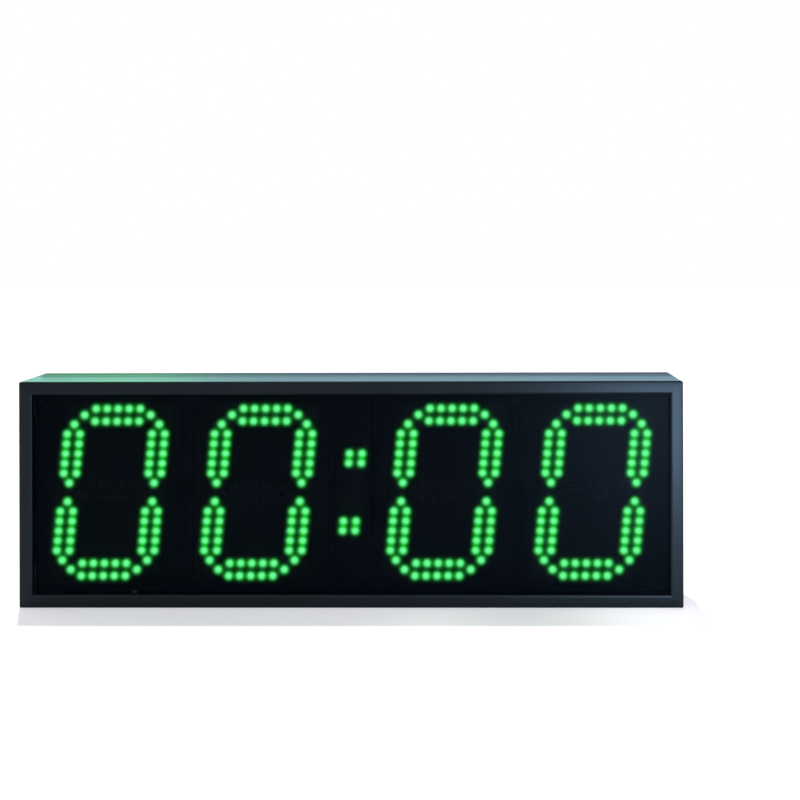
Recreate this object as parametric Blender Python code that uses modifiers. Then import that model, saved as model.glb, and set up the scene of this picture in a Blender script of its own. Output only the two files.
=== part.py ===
"""Sports timer: four slanted lamp digits and a colon behind a smoked window, in a mitred aluminium case.

Metres, +Z up. The front looks along -Y and the origin is the middle of the flat bottom.
Places inside the case are given as a depth behind the front face.
"""

import math

import bmesh
import bpy
from mathutils import Matrix, Vector

MM = 0.001
CLEARANCE = 0.3 * MM
HIDDEN_OVERLAP = 0.5 * MM

# Digits: two rows of lamps to a segment, with one more lamp at each tip, on a plate that fills its board
DIGIT_SLANT = 0.0929
SEGMENT_LAMPS = 5
ROW_GAP = 11.05 * MM
ROW_END_GAP = 8.3 * MM
COLUMN_GAP = 11.2 * MM
COLUMN_END_GAP = 8.175 * MM
COLON_DOT = (11.05 * MM, 8.2 * MM)
COLON_SPACING = 59.3 * MM
COLON_FROM_MIDDLE = 0.9 * MM
LAMP_RADIUS = 2.5 * MM
LAMP_TIP_RADIUS = 1.9 * MM
LAMP_TIP_DEPTH = 10 * MM
HOLDER_THICKNESS = 1.2 * MM
HOLDER_MARGIN = 4 * MM

# Lamp boards, side by side, and the two rails that carry them
BOARD_THICKNESS = 1.6 * MM
BOARD_WIDTH = 122 * MM
BOARD_HEIGHT = 168 * MM
BOARD_MARGIN_X = 6.8 * MM
BOARD_MARGIN_Z = 6.525 * MM
BOARD_GAP = 7.9 * MM
COLON_BOARD_WIDTH = 34 * MM
COLON_BOARD_GAP = 3.9 * MM
BOARD_HOLE_INSET = 4.5 * MM
BOARD_HOLE_RADIUS = 1.6 * MM
RAIL_HEIGHT = 9 * MM
RAIL_THICKNESS = 3 * MM

# Case: four mitred extrusions around the boards
CASE_SIDE_ROOM = 16.2 * MM
CASE_END_ROOM = 14.5 * MM
CASE_DEPTH = 58 * MM
WALL = 2 * MM
EDGE_RADIUS = 1.5 * MM
EDGE_STEPS = 4
LIP_WIDTH = 11.4 * MM
LIP_THICKNESS = 2 * MM
LIP_CHAMFER = (2.6 * MM, 1.2 * MM)
GROOVE_PLACE = 35 * MM
GROOVE_WIDTH = 1.4 * MM
GROOVE_CUT = 0.6 * MM
RIB_HEIGHT = 9 * MM
RIB_THICKNESS = 1.5 * MM
HOOK_LENGTH = 2.3 * MM
KEY_SPACE = 10.5 * MM
KEY_ARM = 34 * MM
FLANGE_HEIGHT = 15 * MM
FLANGE_THICKNESS = 3 * MM
REAR_RECESS = 4.2 * MM
REAR_BEVEL = 0.6 * MM

# Smoked window and the strips that press it forward
WINDOW_THICKNESS = 3 * MM
WINDOW_INSET = 2.6 * MM
STRIP_THICKNESS = 1.1 * MM
STRIP_HEIGHT = 4 * MM
STRIP_INSET = 3 * MM

# Remote-control receiver at the window's lower edge
RECEIVER_X = -190 * MM
RECEIVER_WIDTH = 5 * MM
RECEIVER_BLOCK_DEPTH = 4 * MM
RECEIVER_HEIGHT = 5 * MM
RECEIVER_GAP = 0.6 * MM
RECEIVER_LENS_RADIUS = 1.8 * MM

# Rear cover
COVER_THICKNESS = 1.5 * MM
COVER_EDGE_GAP = 0.4 * MM
COVER_CORNER = 1 * MM
COVER_SCREW_FROM_SIDE = 34 * MM
COVER_SCREW_INSET = 8.5 * MM
SCREW_RADIUS = 1.5 * MM
SCREW_LENGTH = 8 * MM
SCREW_HEAD_RADIUS = 3 * MM
SCREW_HEAD_HEIGHT = 2 * MM
HEAD_CHAMFER = 0.9 * MM
VENT_WIDTH = 3.2 * MM
VENT_HEIGHT = 26 * MM
VENT_PITCH = 8 * MM
VENT_COUNT = 6
VENT_FROM_SIDE = 75.5 * MM
VENT_FROM_BOTTOM = 48 * MM
SOUND_HOLE_RADIUS = 1.1 * MM
SOUND_HOLE_RING = 4.5 * MM
SOUND_HOLE_COUNT = 6

# Control board on the cover's standoffs, with what stands on it placed from its middle in X and Z
CONTROL_BOARD_FROM_MIDDLE = (70 * MM, 0.5 * MM)
CONTROL_BOARD_WIDTH = 130 * MM
CONTROL_BOARD_HEIGHT = 70 * MM
STANDOFF_HEIGHT = 8 * MM
STANDOFF_RADIUS = 3 * MM
STANDOFF_INSET = 6 * MM
CHIP_OFFSET = (-22 * MM, 7 * MM)
CHIP_SIDE = 14 * MM
CHIP_THICKNESS = 1.8 * MM
BUZZER_OFFSET = (42 * MM, 13 * MM)
BUZZER_RADIUS = 8 * MM
BUZZER_HEIGHT = 6.4 * MM
BUZZER_HOLE_RADIUS = 1.2 * MM
BUZZER_HOLE_DEPTH = 2 * MM
CELL_OFFSET = (12 * MM, 13 * MM)
CELL_RADIUS = 10 * MM
CELL_THICKNESS = 3.2 * MM
CELL_HOLDER_WALL = 1.4 * MM
COIL_OFFSET = (-50 * MM, 13 * MM)
COIL_RADIUS = 6.5 * MM
COIL_HEIGHT = 6 * MM
SUPPLY_OFFSET = (-54 * MM, -7 * MM)

# Push-buttons over the control board
BUTTON_COUNT = 4
BUTTON_PITCH = 20 * MM
BUTTON_DROP = 21 * MM
BUTTON_RADIUS = 3.7 * MM
BUTTON_FLANGE_RADIUS = 5 * MM
BUTTON_FLANGE_HEIGHT = 1.1 * MM
BUTTON_PROUD = 2.2 * MM
BUTTON_CHAMFER = 0.7 * MM
BUTTON_TRAVEL = 0.8 * MM
TACT_SIDE = 6 * MM
TACT_HEIGHT = 3.5 * MM
TACT_PLUNGER_RADIUS = 1.75 * MM

# Rocker switch
SWITCH_FROM_MIDDLE = (-45 * MM, -20.5 * MM)
ROCKER_WIDTH = 10.2 * MM
ROCKER_PIVOT_BELOW_COVER_FACE = 1.2 * MM
ROCKER_HALF_LENGTH = 7.5 * MM
ROCKER_END_HEIGHT = 3.8 * MM
ROCKER_MIDDLE_HEIGHT = 2.2 * MM
ROCKER_SKIRT_REACH = 5 * MM
ROCKER_SKIRT_DEPTH = 2.5 * MM
ROCKER_TILT = math.radians(12)
ROCKER_PIN_RADIUS = 1.2 * MM
ROCKER_PIN_IN_WALL = 0.7 * MM
SWITCH_WALL = 1.1 * MM
SWITCH_END_ROOM = 1.2 * MM
SWITCH_FLOOR_ROOM = 1.8 * MM
SWITCH_FLANGE_LIP = 1.2 * MM
SWITCH_FLANGE_THICKNESS = 1.6 * MM
SWITCH_BODY_LENGTH = 14 * MM
TERMINAL_WIDTH = 4.8 * MM
TERMINAL_THICKNESS = 0.8 * MM
TERMINAL_LENGTH = 6 * MM
TERMINAL_SPACING = 9 * MM

# Power socket
SOCKET_FROM_MIDDLE = (-80 * MM, -20.5 * MM)
SOCKET_THREAD_RADIUS = 5.4 * MM
SOCKET_BODY_RADIUS = 5.6 * MM
SOCKET_FLANGE_RADIUS = 7 * MM
SOCKET_FLANGE_HEIGHT = 2 * MM
SOCKET_LENGTH_BEHIND = 12 * MM
SOCKET_PROUD = 3.4 * MM
SOCKET_BORE_RADIUS = 2.9 * MM
SOCKET_BORE_DEPTH = 10 * MM
SOCKET_PIN_RADIUS = 1.05 * MM
SOCKET_PIN_RECESS = 2 * MM
SOCKET_NUT_RADIUS = 8 * MM
SOCKET_NUT_HEIGHT = 2 * MM

# Swivel hanging plates
HANGER_FROM_SIDE = 89 * MM
HANGER_INSET = 10 * MM
HANGER_WIDTH = 18 * MM
HANGER_LENGTH = 30 * MM
HANGER_THICKNESS = 2 * MM
HANGER_EYE_RADIUS = 4 * MM
SHOULDER_RADIUS = 3 * MM
COLLAR_RADIUS = 4.5 * MM
HANGER_HEAD_RADIUS = 6 * MM
HANGER_HEAD_HEIGHT = 1.8 * MM
HANGER_THREAD_RADIUS = 2 * MM
HANGER_THREAD_LENGTH = 7 * MM

# Wiring
RIBBON_WIDTH = 12 * MM
RIBBON_THICKNESS = 1 * MM
RIBBON_ARCH = 7 * MM
RIBBON_LANDING = 8 * MM
RIBBON_STEPS = 12
MAIN_RIBBON_OFFSET = -20 * MM
LEAD_RADIUS = 1.6 * MM
LEAD_STRAIGHT = 2 * MM
LEAD_TO_BOARDS = 2.65 * MM
LEAD_STEPS = 16
LEAD_BEND_SHARE = 0.75

ROUND_STEPS = 16
SMALL_ROUND_STEPS = 8
HEX_SIDES = 6
CORNER_STEPS = 3
SMOOTH_ANGLE = math.radians(35)
CUTTER_REACH = 2 * MM

# Places that follow: in a digit, across the case, up it, and behind its front face
DIGIT_REACH_Z = BOARD_HEIGHT / 2 - BOARD_MARGIN_Z
DIGIT_REACH_X = BOARD_WIDTH / 2 - BOARD_MARGIN_X - DIGIT_SLANT * DIGIT_REACH_Z
STROKE_SPACING = 2 * (DIGIT_REACH_X - HOLDER_MARGIN) - COLUMN_GAP
SEGMENT_SPACING = DIGIT_REACH_Z - HOLDER_MARGIN - ROW_GAP / 2
ROW_PITCH = (STROKE_SPACING - 2 * ROW_END_GAP) / (SEGMENT_LAMPS + 1)
COLUMN_PITCH = (SEGMENT_SPACING - 2 * COLUMN_END_GAP) / (SEGMENT_LAMPS + 1)
INNER_DIGIT_X = COLON_BOARD_WIDTH / 2 + COLON_BOARD_GAP + BOARD_WIDTH / 2
OUTER_DIGIT_X = INNER_DIGIT_X + BOARD_WIDTH + BOARD_GAP
DIGIT_X = (-OUTER_DIGIT_X, -INNER_DIGIT_X, INNER_DIGIT_X, OUTER_DIGIT_X)
CASE_WIDTH = 2 * (OUTER_DIGIT_X + BOARD_WIDTH / 2 + CASE_SIDE_ROOM)
CASE_HEIGHT = BOARD_HEIGHT + 2 * CASE_END_ROOM
MIDDLE_Z = CASE_HEIGHT / 2
CONTROL_BOARD_PLACE = (CONTROL_BOARD_FROM_MIDDLE[0], MIDDLE_Z + CONTROL_BOARD_FROM_MIDDLE[1])
SWITCH_PLACE = (SWITCH_FROM_MIDDLE[0], MIDDLE_Z + SWITCH_FROM_MIDDLE[1])
SOCKET_PLACE = (SOCKET_FROM_MIDDLE[0], MIDDLE_Z + SOCKET_FROM_MIDDLE[1])
COVER_SCREW_X = tuple(i * (CASE_WIDTH / 2 - COVER_SCREW_FROM_SIDE) for i in (-1, 0, 1))
HANGER_X = tuple(i * (CASE_WIDTH / 2 - HANGER_FROM_SIDE) for i in (-1, 1))
HANGER_Z = CASE_HEIGHT - HANGER_INSET
WINDOW_DEPTH = LIP_THICKNESS + CLEARANCE
STRIP_DEPTH = WINDOW_DEPTH + WINDOW_THICKNESS + CLEARANCE
FRONT_RIB_DEPTH = STRIP_DEPTH + STRIP_THICKNESS + CLEARANCE
KEY_DEPTH = FRONT_RIB_DEPTH + RIB_THICKNESS
REAR_RIB_DEPTH = KEY_DEPTH + KEY_SPACE
RAIL_DEPTH = REAR_RIB_DEPTH + RIB_THICKNESS + CLEARANCE
BOARD_DEPTH = RAIL_DEPTH - CLEARANCE - BOARD_THICKNESS
HOLDER_DEPTH = BOARD_DEPTH - CLEARANCE - HOLDER_THICKNESS
COVER_FACE_DEPTH = CASE_DEPTH - REAR_RECESS
COVER_DEPTH = COVER_FACE_DEPTH - COVER_THICKNESS
FLANGE_DEPTH = COVER_DEPTH - CLEARANCE - FLANGE_THICKNESS
CONTROL_FACE_DEPTH = COVER_DEPTH - STANDOFF_HEIGHT
CONTROL_BOARD_DEPTH = CONTROL_FACE_DEPTH - CLEARANCE - BOARD_THICKNESS
HANGER_DEPTH = CASE_DEPTH + CLEARANCE
ROCKER_PIVOT_DEPTH = COVER_FACE_DEPTH - ROCKER_PIVOT_BELOW_COVER_FACE
SWITCH_BODY_WIDTH = ROCKER_WIDTH + 2 * CLEARANCE + 2 * SWITCH_WALL
SWITCH_BODY_HEIGHT = 2 * (ROCKER_HALF_LENGTH + SWITCH_END_ROOM + SWITCH_WALL)
SWITCH_END_DEPTH = COVER_FACE_DEPTH - SWITCH_BODY_LENGTH - TERMINAL_LENGTH
SOCKET_END_DEPTH = COVER_DEPTH - CLEARANCE - SOCKET_LENGTH_BEHIND - CLEARANCE
BOARD_BACK_DEPTH = BOARD_DEPTH + BOARD_THICKNESS
LEAD_BEND_DEPTH = BOARD_BACK_DEPTH + LEAD_TO_BOARDS + LEAD_RADIUS
LEAD_BEND_ROOM = (SOCKET_END_DEPTH + SWITCH_END_DEPTH) / 2 - LEAD_STRAIGHT - LEAD_BEND_DEPTH
LEAD_SLACK = LEAD_BEND_ROOM / LEAD_BEND_SHARE

FACING_FRONT = (math.radians(90), 0, 0)
FACING_REAR = (math.radians(-90), 0, 0)


def clear_scene():
    for obj in list(bpy.data.objects):
        bpy.data.objects.remove(obj, do_unlink=True)


def finish(name, colour, roughness, metallic=0.0):
    """A Principled material."""
    made = bpy.data.materials.new(name)
    made.use_nodes = True
    shader = made.node_tree.nodes["Principled BSDF"]
    shader.inputs["Base Color"].default_value = (*colour, 1)
    shader.inputs["Roughness"].default_value = roughness
    shader.inputs["Metallic"].default_value = metallic
    made.diffuse_color = (*colour, 1)
    return made


def at_depth(x, depth, z):
    """The world point at this depth behind the front face."""
    return Vector((x, depth - CASE_DEPTH / 2, z))


def circle(radius, steps=ROUND_STEPS, centre=(0, 0)):
    turns = [2 * math.pi * (i + 0.5) / steps for i in range(steps)]
    return [
        (centre[0] + radius * math.cos(a), centre[1] + radius * math.sin(a))
        for a in turns
    ]


def rectangle(width, height, centre=(0, 0)):
    x, y = centre
    return [
        (x + i * width / 2, y + j * height / 2)
        for i, j in ((-1, -1), (1, -1), (1, 1), (-1, 1))
    ]


def rounded_rectangle(width, height, radius, centre=(0, 0), steps=CORNER_STEPS):
    """A rectangle whose corners are quarter circles; with a radius of half its width it is a slot."""
    points = []
    for i, (sx, sy) in enumerate(((1, 1), (-1, 1), (-1, -1), (1, -1))):
        for k in range(steps + 1):
            turn = math.radians(90 * (i + k / steps))
            points.append(
                (
                    centre[0] + sx * (width / 2 - radius) + radius * math.cos(turn),
                    centre[1] + sy * (height / 2 - radius) + radius * math.sin(turn),
                )
            )
    return without_repeats(points)


def without_repeats(points):
    """The closed outline without a point that lies on the one before it."""
    return [
        p for i, p in enumerate(points) if math.dist(p, points[i - 1]) > 0.01 * MM
    ]


def sheared(points, slant):
    """The outline leaning to the right as it goes up."""
    return [(x + slant * y, y) for x, y in points]


def weld(mesh):
    shape = bmesh.new()
    shape.from_mesh(mesh)
    bmesh.ops.remove_doubles(shape, verts=shape.verts, dist=0.001 * MM)
    bmesh.ops.recalc_face_normals(shape, faces=shape.faces)
    shape.to_mesh(mesh)
    shape.free()
    return mesh


def evaluated_mesh(obj):
    """The object's mesh after its modifiers, in its own space; the object itself goes."""
    bpy.context.scene.collection.objects.link(obj)
    bpy.context.view_layer.update()
    graph = bpy.context.evaluated_depsgraph_get()
    mesh = bpy.data.meshes.new_from_object(obj.evaluated_get(graph), depsgraph=graph)
    bpy.data.objects.remove(obj, do_unlink=True)
    return mesh


def flat_mesh(outlines, thickness):
    """A flat outline, the first, with the others as holes: a filled 2D curve of this thickness."""
    curve = bpy.data.curves.new("outline", "CURVE")
    curve.dimensions = "2D"
    curve.fill_mode = "BOTH"
    curve.extrude = thickness / 2
    for points in outlines:
        spline = curve.splines.new("POLY")
        spline.points.add(len(points) - 1)
        for point, (x, y) in zip(spline.points, points):
            point.co = (x, y, 0, 1)
        spline.use_cyclic_u = True
    return weld(evaluated_mesh(bpy.data.objects.new("outline", curve)))


def turned_mesh(profile, steps=ROUND_STEPS):
    """A profile of (radius, height) points, from its top down its outer side, turned round Z."""
    mesh = bpy.data.meshes.new("profile")
    points = [(radius, 0, height) for radius, height in profile]
    mesh.from_pydata(points, [(i, i + 1) for i in range(len(points) - 1)], [])
    obj = bpy.data.objects.new("profile", mesh)
    screw = obj.modifiers.new("turn", "SCREW")
    screw.steps = steps
    screw.render_steps = steps
    screw.use_merge_vertices = True
    screw.merge_threshold = 0.001 * MM
    return weld(evaluated_mesh(obj))


def box_mesh(width, depth, height, centre=(0, 0, 0)):
    shape = bmesh.new()
    size = Matrix.Diagonal((width, depth, height, 1))
    bmesh.ops.create_cube(shape, size=1, matrix=Matrix.Translation(centre) @ size)
    mesh = bpy.data.meshes.new("box")
    shape.to_mesh(mesh)
    shape.free()
    return mesh


def tapered_mesh(places, bottom_radius, top_radius, height, sides):
    """Upright prisms with their feet at these (x, y, z) places, all in one mesh."""
    shape = bmesh.new()
    for place in places:
        middle = Vector(place) + Vector((0, 0, height / 2))
        bmesh.ops.create_cone(
            shape,
            cap_ends=True,
            segments=sides,
            radius1=bottom_radius,
            radius2=top_radius,
            depth=height,
            matrix=Matrix.Translation(middle),
        )
    mesh = bpy.data.meshes.new("prisms")
    shape.to_mesh(mesh)
    shape.free()
    return mesh


def combined_mesh(mesh, other, operation, solver="EXACT"):
    """One mesh joined with another, or cut by it. A sheet with rows of holes needs the MANIFOLD solver."""
    helper = bpy.data.objects.new("helper", other)
    CUTTERS.objects.link(helper)
    obj = bpy.data.objects.new("base", mesh)
    boolean = obj.modifiers.new("boolean", "BOOLEAN")
    boolean.operation = operation
    boolean.solver = solver
    boolean.object = helper
    made = evaluated_mesh(obj)
    bpy.data.objects.remove(helper, do_unlink=True)
    return made


def add(name, mesh, material, location=(0, 0, 0), rotation=(0, 0, 0), is_round=False):
    """The named piece, in the object's collection."""
    obj = bpy.data.objects.new(name, mesh)
    mesh.materials.clear()
    mesh.materials.append(material)
    obj.location = location
    obj.rotation_euler = rotation
    if is_round:
        mesh.shade_smooth()
        mesh.set_sharp_from_angle(angle=SMOOTH_ANGLE)
    PARTS.objects.link(obj)
    return obj


def case_profile():
    """The extrusion's section as (distance in from the outer face, depth behind the front face)."""
    rounding = []
    for i in range(EDGE_STEPS + 1):
        turn = math.radians(180 + 90 * i / EDGE_STEPS)
        rounding.append(
            (
                EDGE_RADIUS * (1 + math.cos(turn)),
                EDGE_RADIUS * (1 + math.sin(turn)),
            )
        )
    hook = RIB_HEIGHT - RIB_THICKNESS
    return [
        *rounding,
        (LIP_WIDTH - LIP_CHAMFER[0], 0),
        (LIP_WIDTH, LIP_CHAMFER[1]),
        (LIP_WIDTH, LIP_THICKNESS),
        (WALL, LIP_THICKNESS),
        (WALL, FRONT_RIB_DEPTH),
        (RIB_HEIGHT, FRONT_RIB_DEPTH),
        (RIB_HEIGHT, KEY_DEPTH + HOOK_LENGTH),
        (hook, KEY_DEPTH + HOOK_LENGTH),
        (hook, KEY_DEPTH),
        (WALL, KEY_DEPTH),
        (WALL, REAR_RIB_DEPTH),
        (hook, REAR_RIB_DEPTH),
        (hook, REAR_RIB_DEPTH - HOOK_LENGTH),
        (RIB_HEIGHT, REAR_RIB_DEPTH - HOOK_LENGTH),
        (RIB_HEIGHT, REAR_RIB_DEPTH + RIB_THICKNESS),
        (WALL, REAR_RIB_DEPTH + RIB_THICKNESS),
        (WALL, FLANGE_DEPTH),
        (FLANGE_HEIGHT, FLANGE_DEPTH),
        (FLANGE_HEIGHT, FLANGE_DEPTH + FLANGE_THICKNESS),
        (WALL, FLANGE_DEPTH + FLANGE_THICKNESS),
        (WALL, CASE_DEPTH),
        (REAR_BEVEL, CASE_DEPTH),
        (0, CASE_DEPTH - REAR_BEVEL),
        (0, GROOVE_PLACE + GROOVE_WIDTH / 2),
        (GROOVE_CUT, GROOVE_PLACE),
        (0, GROOVE_PLACE - GROOVE_WIDTH / 2),
    ]


def mitred_bar_mesh(length):
    """An extrusion along Z whose ends are cut at 45 degrees, so that its inner side is the shorter one."""
    mesh = flat_mesh([case_profile()], length)
    reach = length / 2 - CLEARANCE / math.sqrt(2)
    for vertex in mesh.vertices:
        inward, _, along = vertex.co
        vertex.co.z = math.copysign(reach - inward, along)
    return mesh


def fastener_holes(places, radius):
    """Round cutters along Y through the rear flange, at these world (x, z) places."""
    length = FLANGE_THICKNESS + 2 * CUTTER_REACH
    start = FLANGE_DEPTH - CUTTER_REACH
    mesh = tapered_mesh(
        [(x, -z, start - CASE_DEPTH / 2) for x, z in places],
        radius,
        radius,
        length,
        SMALL_ROUND_STEPS,
    )
    mesh.transform(Matrix.Rotation(math.radians(-90), 4, "X"))
    return mesh


def make_case(aluminium, steel):
    screw_z = {"top": CASE_HEIGHT - COVER_SCREW_INSET, "bottom": COVER_SCREW_INSET}
    sides = {
        "bottom": (Vector((0, 0, 1)), CASE_WIDTH, Vector((0, 0, 0))),
        "top": (Vector((0, 0, -1)), CASE_WIDTH, Vector((0, 0, CASE_HEIGHT))),
        "left": (Vector((1, 0, 0)), CASE_HEIGHT, Vector((-CASE_WIDTH / 2, 0, MIDDLE_Z))),
        "right": (Vector((-1, 0, 0)), CASE_HEIGHT, Vector((CASE_WIDTH / 2, 0, MIDDLE_Z))),
    }
    rearward = Vector((0, 1, 0))
    for side, (inward, length, middle) in sides.items():
        place = Matrix((inward, rearward, inward.cross(rearward))).transposed().to_4x4()
        place.translation = middle + at_depth(0, 0, 0)
        mesh = mitred_bar_mesh(length)
        if side in screw_z:
            holes = [(x, screw_z[side]) for x in COVER_SCREW_X]
            cutter = fastener_holes(holes, SCREW_RADIUS + CLEARANCE)
            cutter.transform(place.inverted())
            mesh = combined_mesh(mesh, cutter, "DIFFERENCE")
        if side == "top":
            holes = [(x, HANGER_Z) for x in HANGER_X]
            cutter = fastener_holes(holes, HANGER_THREAD_RADIUS + CLEARANCE)
            cutter.transform(place.inverted())
            mesh = combined_mesh(mesh, cutter, "DIFFERENCE")
        bar = add(f"frame_{side}", mesh, aluminium)
        bar.matrix_world = place
    make_corner_keys(steel)


def make_corner_keys(steel):
    """An L in the hooked channel of each corner."""
    outer = WALL + CLEARANCE
    inner = RIB_HEIGHT - RIB_THICKNESS - CLEARANCE
    elbow = [
        (outer, outer),
        (KEY_ARM, outer),
        (KEY_ARM, inner),
        (inner, inner),
        (inner, KEY_ARM),
        (outer, KEY_ARM),
    ]
    width = KEY_SPACE - 2 * CLEARANCE
    for row, z, up in (("lower", 0, 1), ("upper", CASE_HEIGHT, -1)):
        for side, x, across in (("left", -CASE_WIDTH / 2, 1), ("right", CASE_WIDTH / 2, -1)):
            outline = [(across * a, up * b) for a, b in elbow]
            add(
                f"corner_key_{row}_{side}",
                flat_mesh([outline], width),
                steel,
                at_depth(x, KEY_DEPTH + KEY_SPACE / 2, z),
                FACING_FRONT,
            )


def make_window(smoked, foam):
    width = CASE_WIDTH - 2 * WINDOW_INSET
    height = CASE_HEIGHT - 2 * WINDOW_INSET
    add(
        "front_window",
        flat_mesh([rectangle(width, height)], WINDOW_THICKNESS),
        smoked,
        at_depth(0, WINDOW_DEPTH + WINDOW_THICKNESS / 2, MIDDLE_Z),
        FACING_FRONT,
    )
    strip_width = CASE_WIDTH - 2 * STRIP_INSET
    from_edge = STRIP_INSET + STRIP_HEIGHT / 2
    for row, z in (("upper", CASE_HEIGHT - from_edge), ("lower", from_edge)):
        add(
            f"window_strip_{row}",
            box_mesh(strip_width, STRIP_THICKNESS, STRIP_HEIGHT),
            foam,
            at_depth(0, STRIP_DEPTH + STRIP_THICKNESS / 2, z),
        )


def segment(x, y, lies):
    """Lamp places of one segment: two rows side by side and a lamp past each end."""
    pitch = ROW_PITCH if lies else COLUMN_PITCH
    gap = ROW_GAP if lies else COLUMN_GAP
    half = (SEGMENT_LAMPS - 1) / 2
    along = [(i - half) * pitch for i in range(SEGMENT_LAMPS)]
    tip = (half + 1) * pitch
    places = [(a, side * gap / 2) for side in (-1, 1) for a in along]
    places += [(-tip, 0), (tip, 0)]
    return [(x + a, y + b) if lies else (x + b, y + a) for a, b in places]


def digit_lamps():
    """All seven segments of an upright digit, about its middle."""
    places = []
    for row in (-1, 0, 1):
        places += segment(0, row * SEGMENT_SPACING, True)
    for side in (-1, 1):
        for half in (-1, 1):
            places += segment(side * STROKE_SPACING / 2, half * SEGMENT_SPACING / 2, False)
    return places


def colon_lamps():
    """Two groups of four lamps."""
    return [
        (i * COLON_DOT[0] / 2, group * COLON_SPACING / 2 + j * COLON_DOT[1] / 2)
        for group in (-1, 1)
        for i in (-1, 1)
        for j in (-1, 1)
    ]


def digit_holder():
    """Outer outline and two windows of the plate that holds a digit's lamps."""
    open_x = STROKE_SPACING / 2 - COLUMN_GAP / 2 - HOLDER_MARGIN
    open_y = SEGMENT_SPACING / 2 - ROW_GAP / 2 - HOLDER_MARGIN
    windows = [
        rectangle(2 * open_x, 2 * open_y, (0, side * SEGMENT_SPACING / 2))
        for side in (-1, 1)
    ]
    return [rectangle(2 * DIGIT_REACH_X, 2 * DIGIT_REACH_Z), *windows]


def colon_holder():
    reach_x = COLON_DOT[0] / 2 + HOLDER_MARGIN
    reach_y = COLON_SPACING / 2 + COLON_DOT[1] / 2 + HOLDER_MARGIN
    return [rectangle(2 * reach_x, 2 * reach_y)]


def lamp_bank_mesh(places, outlines):
    """Lamps standing on their holder plate. Its front is at Z = half its thickness."""
    slanted = [sheared(points, DIGIT_SLANT) for points in outlines]
    plate = flat_mesh(slanted, HOLDER_THICKNESS)
    foot = HOLDER_THICKNESS / 2 - HIDDEN_OVERLAP
    tip = HOLDER_DEPTH + HOLDER_THICKNESS / 2 - LAMP_TIP_DEPTH
    lamps = tapered_mesh(
        [(x, y, foot) for x, y in sheared(places, DIGIT_SLANT)],
        LAMP_RADIUS,
        LAMP_TIP_RADIUS,
        tip - foot,
        HEX_SIDES,
    )
    return combined_mesh(plate, lamps, "UNION")


def board_mesh(width, height):
    """A circuit board with a fixing hole in each corner."""
    x = width / 2 - BOARD_HOLE_INSET
    y = height / 2 - BOARD_HOLE_INSET
    holes = [
        circle(BOARD_HOLE_RADIUS, SMALL_ROUND_STEPS, (i * x, j * y))
        for i in (-1, 1)
        for j in (-1, 1)
    ]
    return flat_mesh([rectangle(width, height), *holes], BOARD_THICKNESS)


def make_display(board, lamp):
    board_middle = BOARD_DEPTH + BOARD_THICKNESS / 2
    holder_middle = HOLDER_DEPTH + HOLDER_THICKNESS / 2
    digit_board = board_mesh(BOARD_WIDTH, BOARD_HEIGHT)
    bank = lamp_bank_mesh(digit_lamps(), digit_holder())
    for i, x in enumerate(DIGIT_X, 1):
        add(f"digit_{i}_board", digit_board, board, at_depth(x, board_middle, MIDDLE_Z), FACING_FRONT)
        add(f"digit_{i}_lamps", bank, lamp, at_depth(x, holder_middle, MIDDLE_Z), FACING_FRONT)
    add(
        "colon_board",
        board_mesh(COLON_BOARD_WIDTH, BOARD_HEIGHT),
        board,
        at_depth(0, board_middle, MIDDLE_Z),
        FACING_FRONT,
    )
    add(
        "colon_lamps",
        lamp_bank_mesh(colon_lamps(), colon_holder()),
        lamp,
        at_depth(COLON_FROM_MIDDLE, holder_middle, MIDDLE_Z),
        FACING_FRONT,
    )


def make_rails(aluminium):
    """Two flat bars behind the boards, their ends on the side bars' inner ribs."""
    offset = BOARD_HEIGHT / 2 - BOARD_HOLE_INSET
    length = CASE_WIDTH - 2 * (WALL + CLEARANCE)
    boards = [(x, BOARD_WIDTH) for x in DIGIT_X] + [(0, COLON_BOARD_WIDTH)]
    holes = [
        circle(BOARD_HOLE_RADIUS, SMALL_ROUND_STEPS, (x + side * (width / 2 - BOARD_HOLE_INSET), 0))
        for x, width in boards
        for side in (-1, 1)
    ]
    bar = flat_mesh([rectangle(length, RAIL_HEIGHT), *holes], RAIL_THICKNESS)
    for name, z in (("rail_upper", MIDDLE_Z + offset), ("rail_lower", MIDDLE_Z - offset)):
        add(name, bar, aluminium, at_depth(0, RAIL_DEPTH + RAIL_THICKNESS / 2, z), FACING_FRONT)


def make_receiver(dark_lens):
    """A small upright block with a round lens, on the lower bar's front rib."""
    block = box_mesh(RECEIVER_WIDTH, RECEIVER_BLOCK_DEPTH, RECEIVER_HEIGHT)
    block.transform(Matrix.Rotation(math.radians(-90), 4, "X"))
    lens = tapered_mesh(
        [(0, 0, 0)],
        RECEIVER_LENS_RADIUS,
        RECEIVER_LENS_RADIUS,
        RECEIVER_BLOCK_DEPTH / 2 + HIDDEN_OVERLAP,
        ROUND_STEPS,
    )
    add(
        "remote_receiver",
        combined_mesh(block, lens, "UNION"),
        dark_lens,
        at_depth(
            RECEIVER_X,
            STRIP_DEPTH + RECEIVER_GAP + RECEIVER_BLOCK_DEPTH / 2,
            RIB_HEIGHT + CLEARANCE + RECEIVER_HEIGHT / 2,
        ),
        FACING_FRONT,
    )


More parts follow.
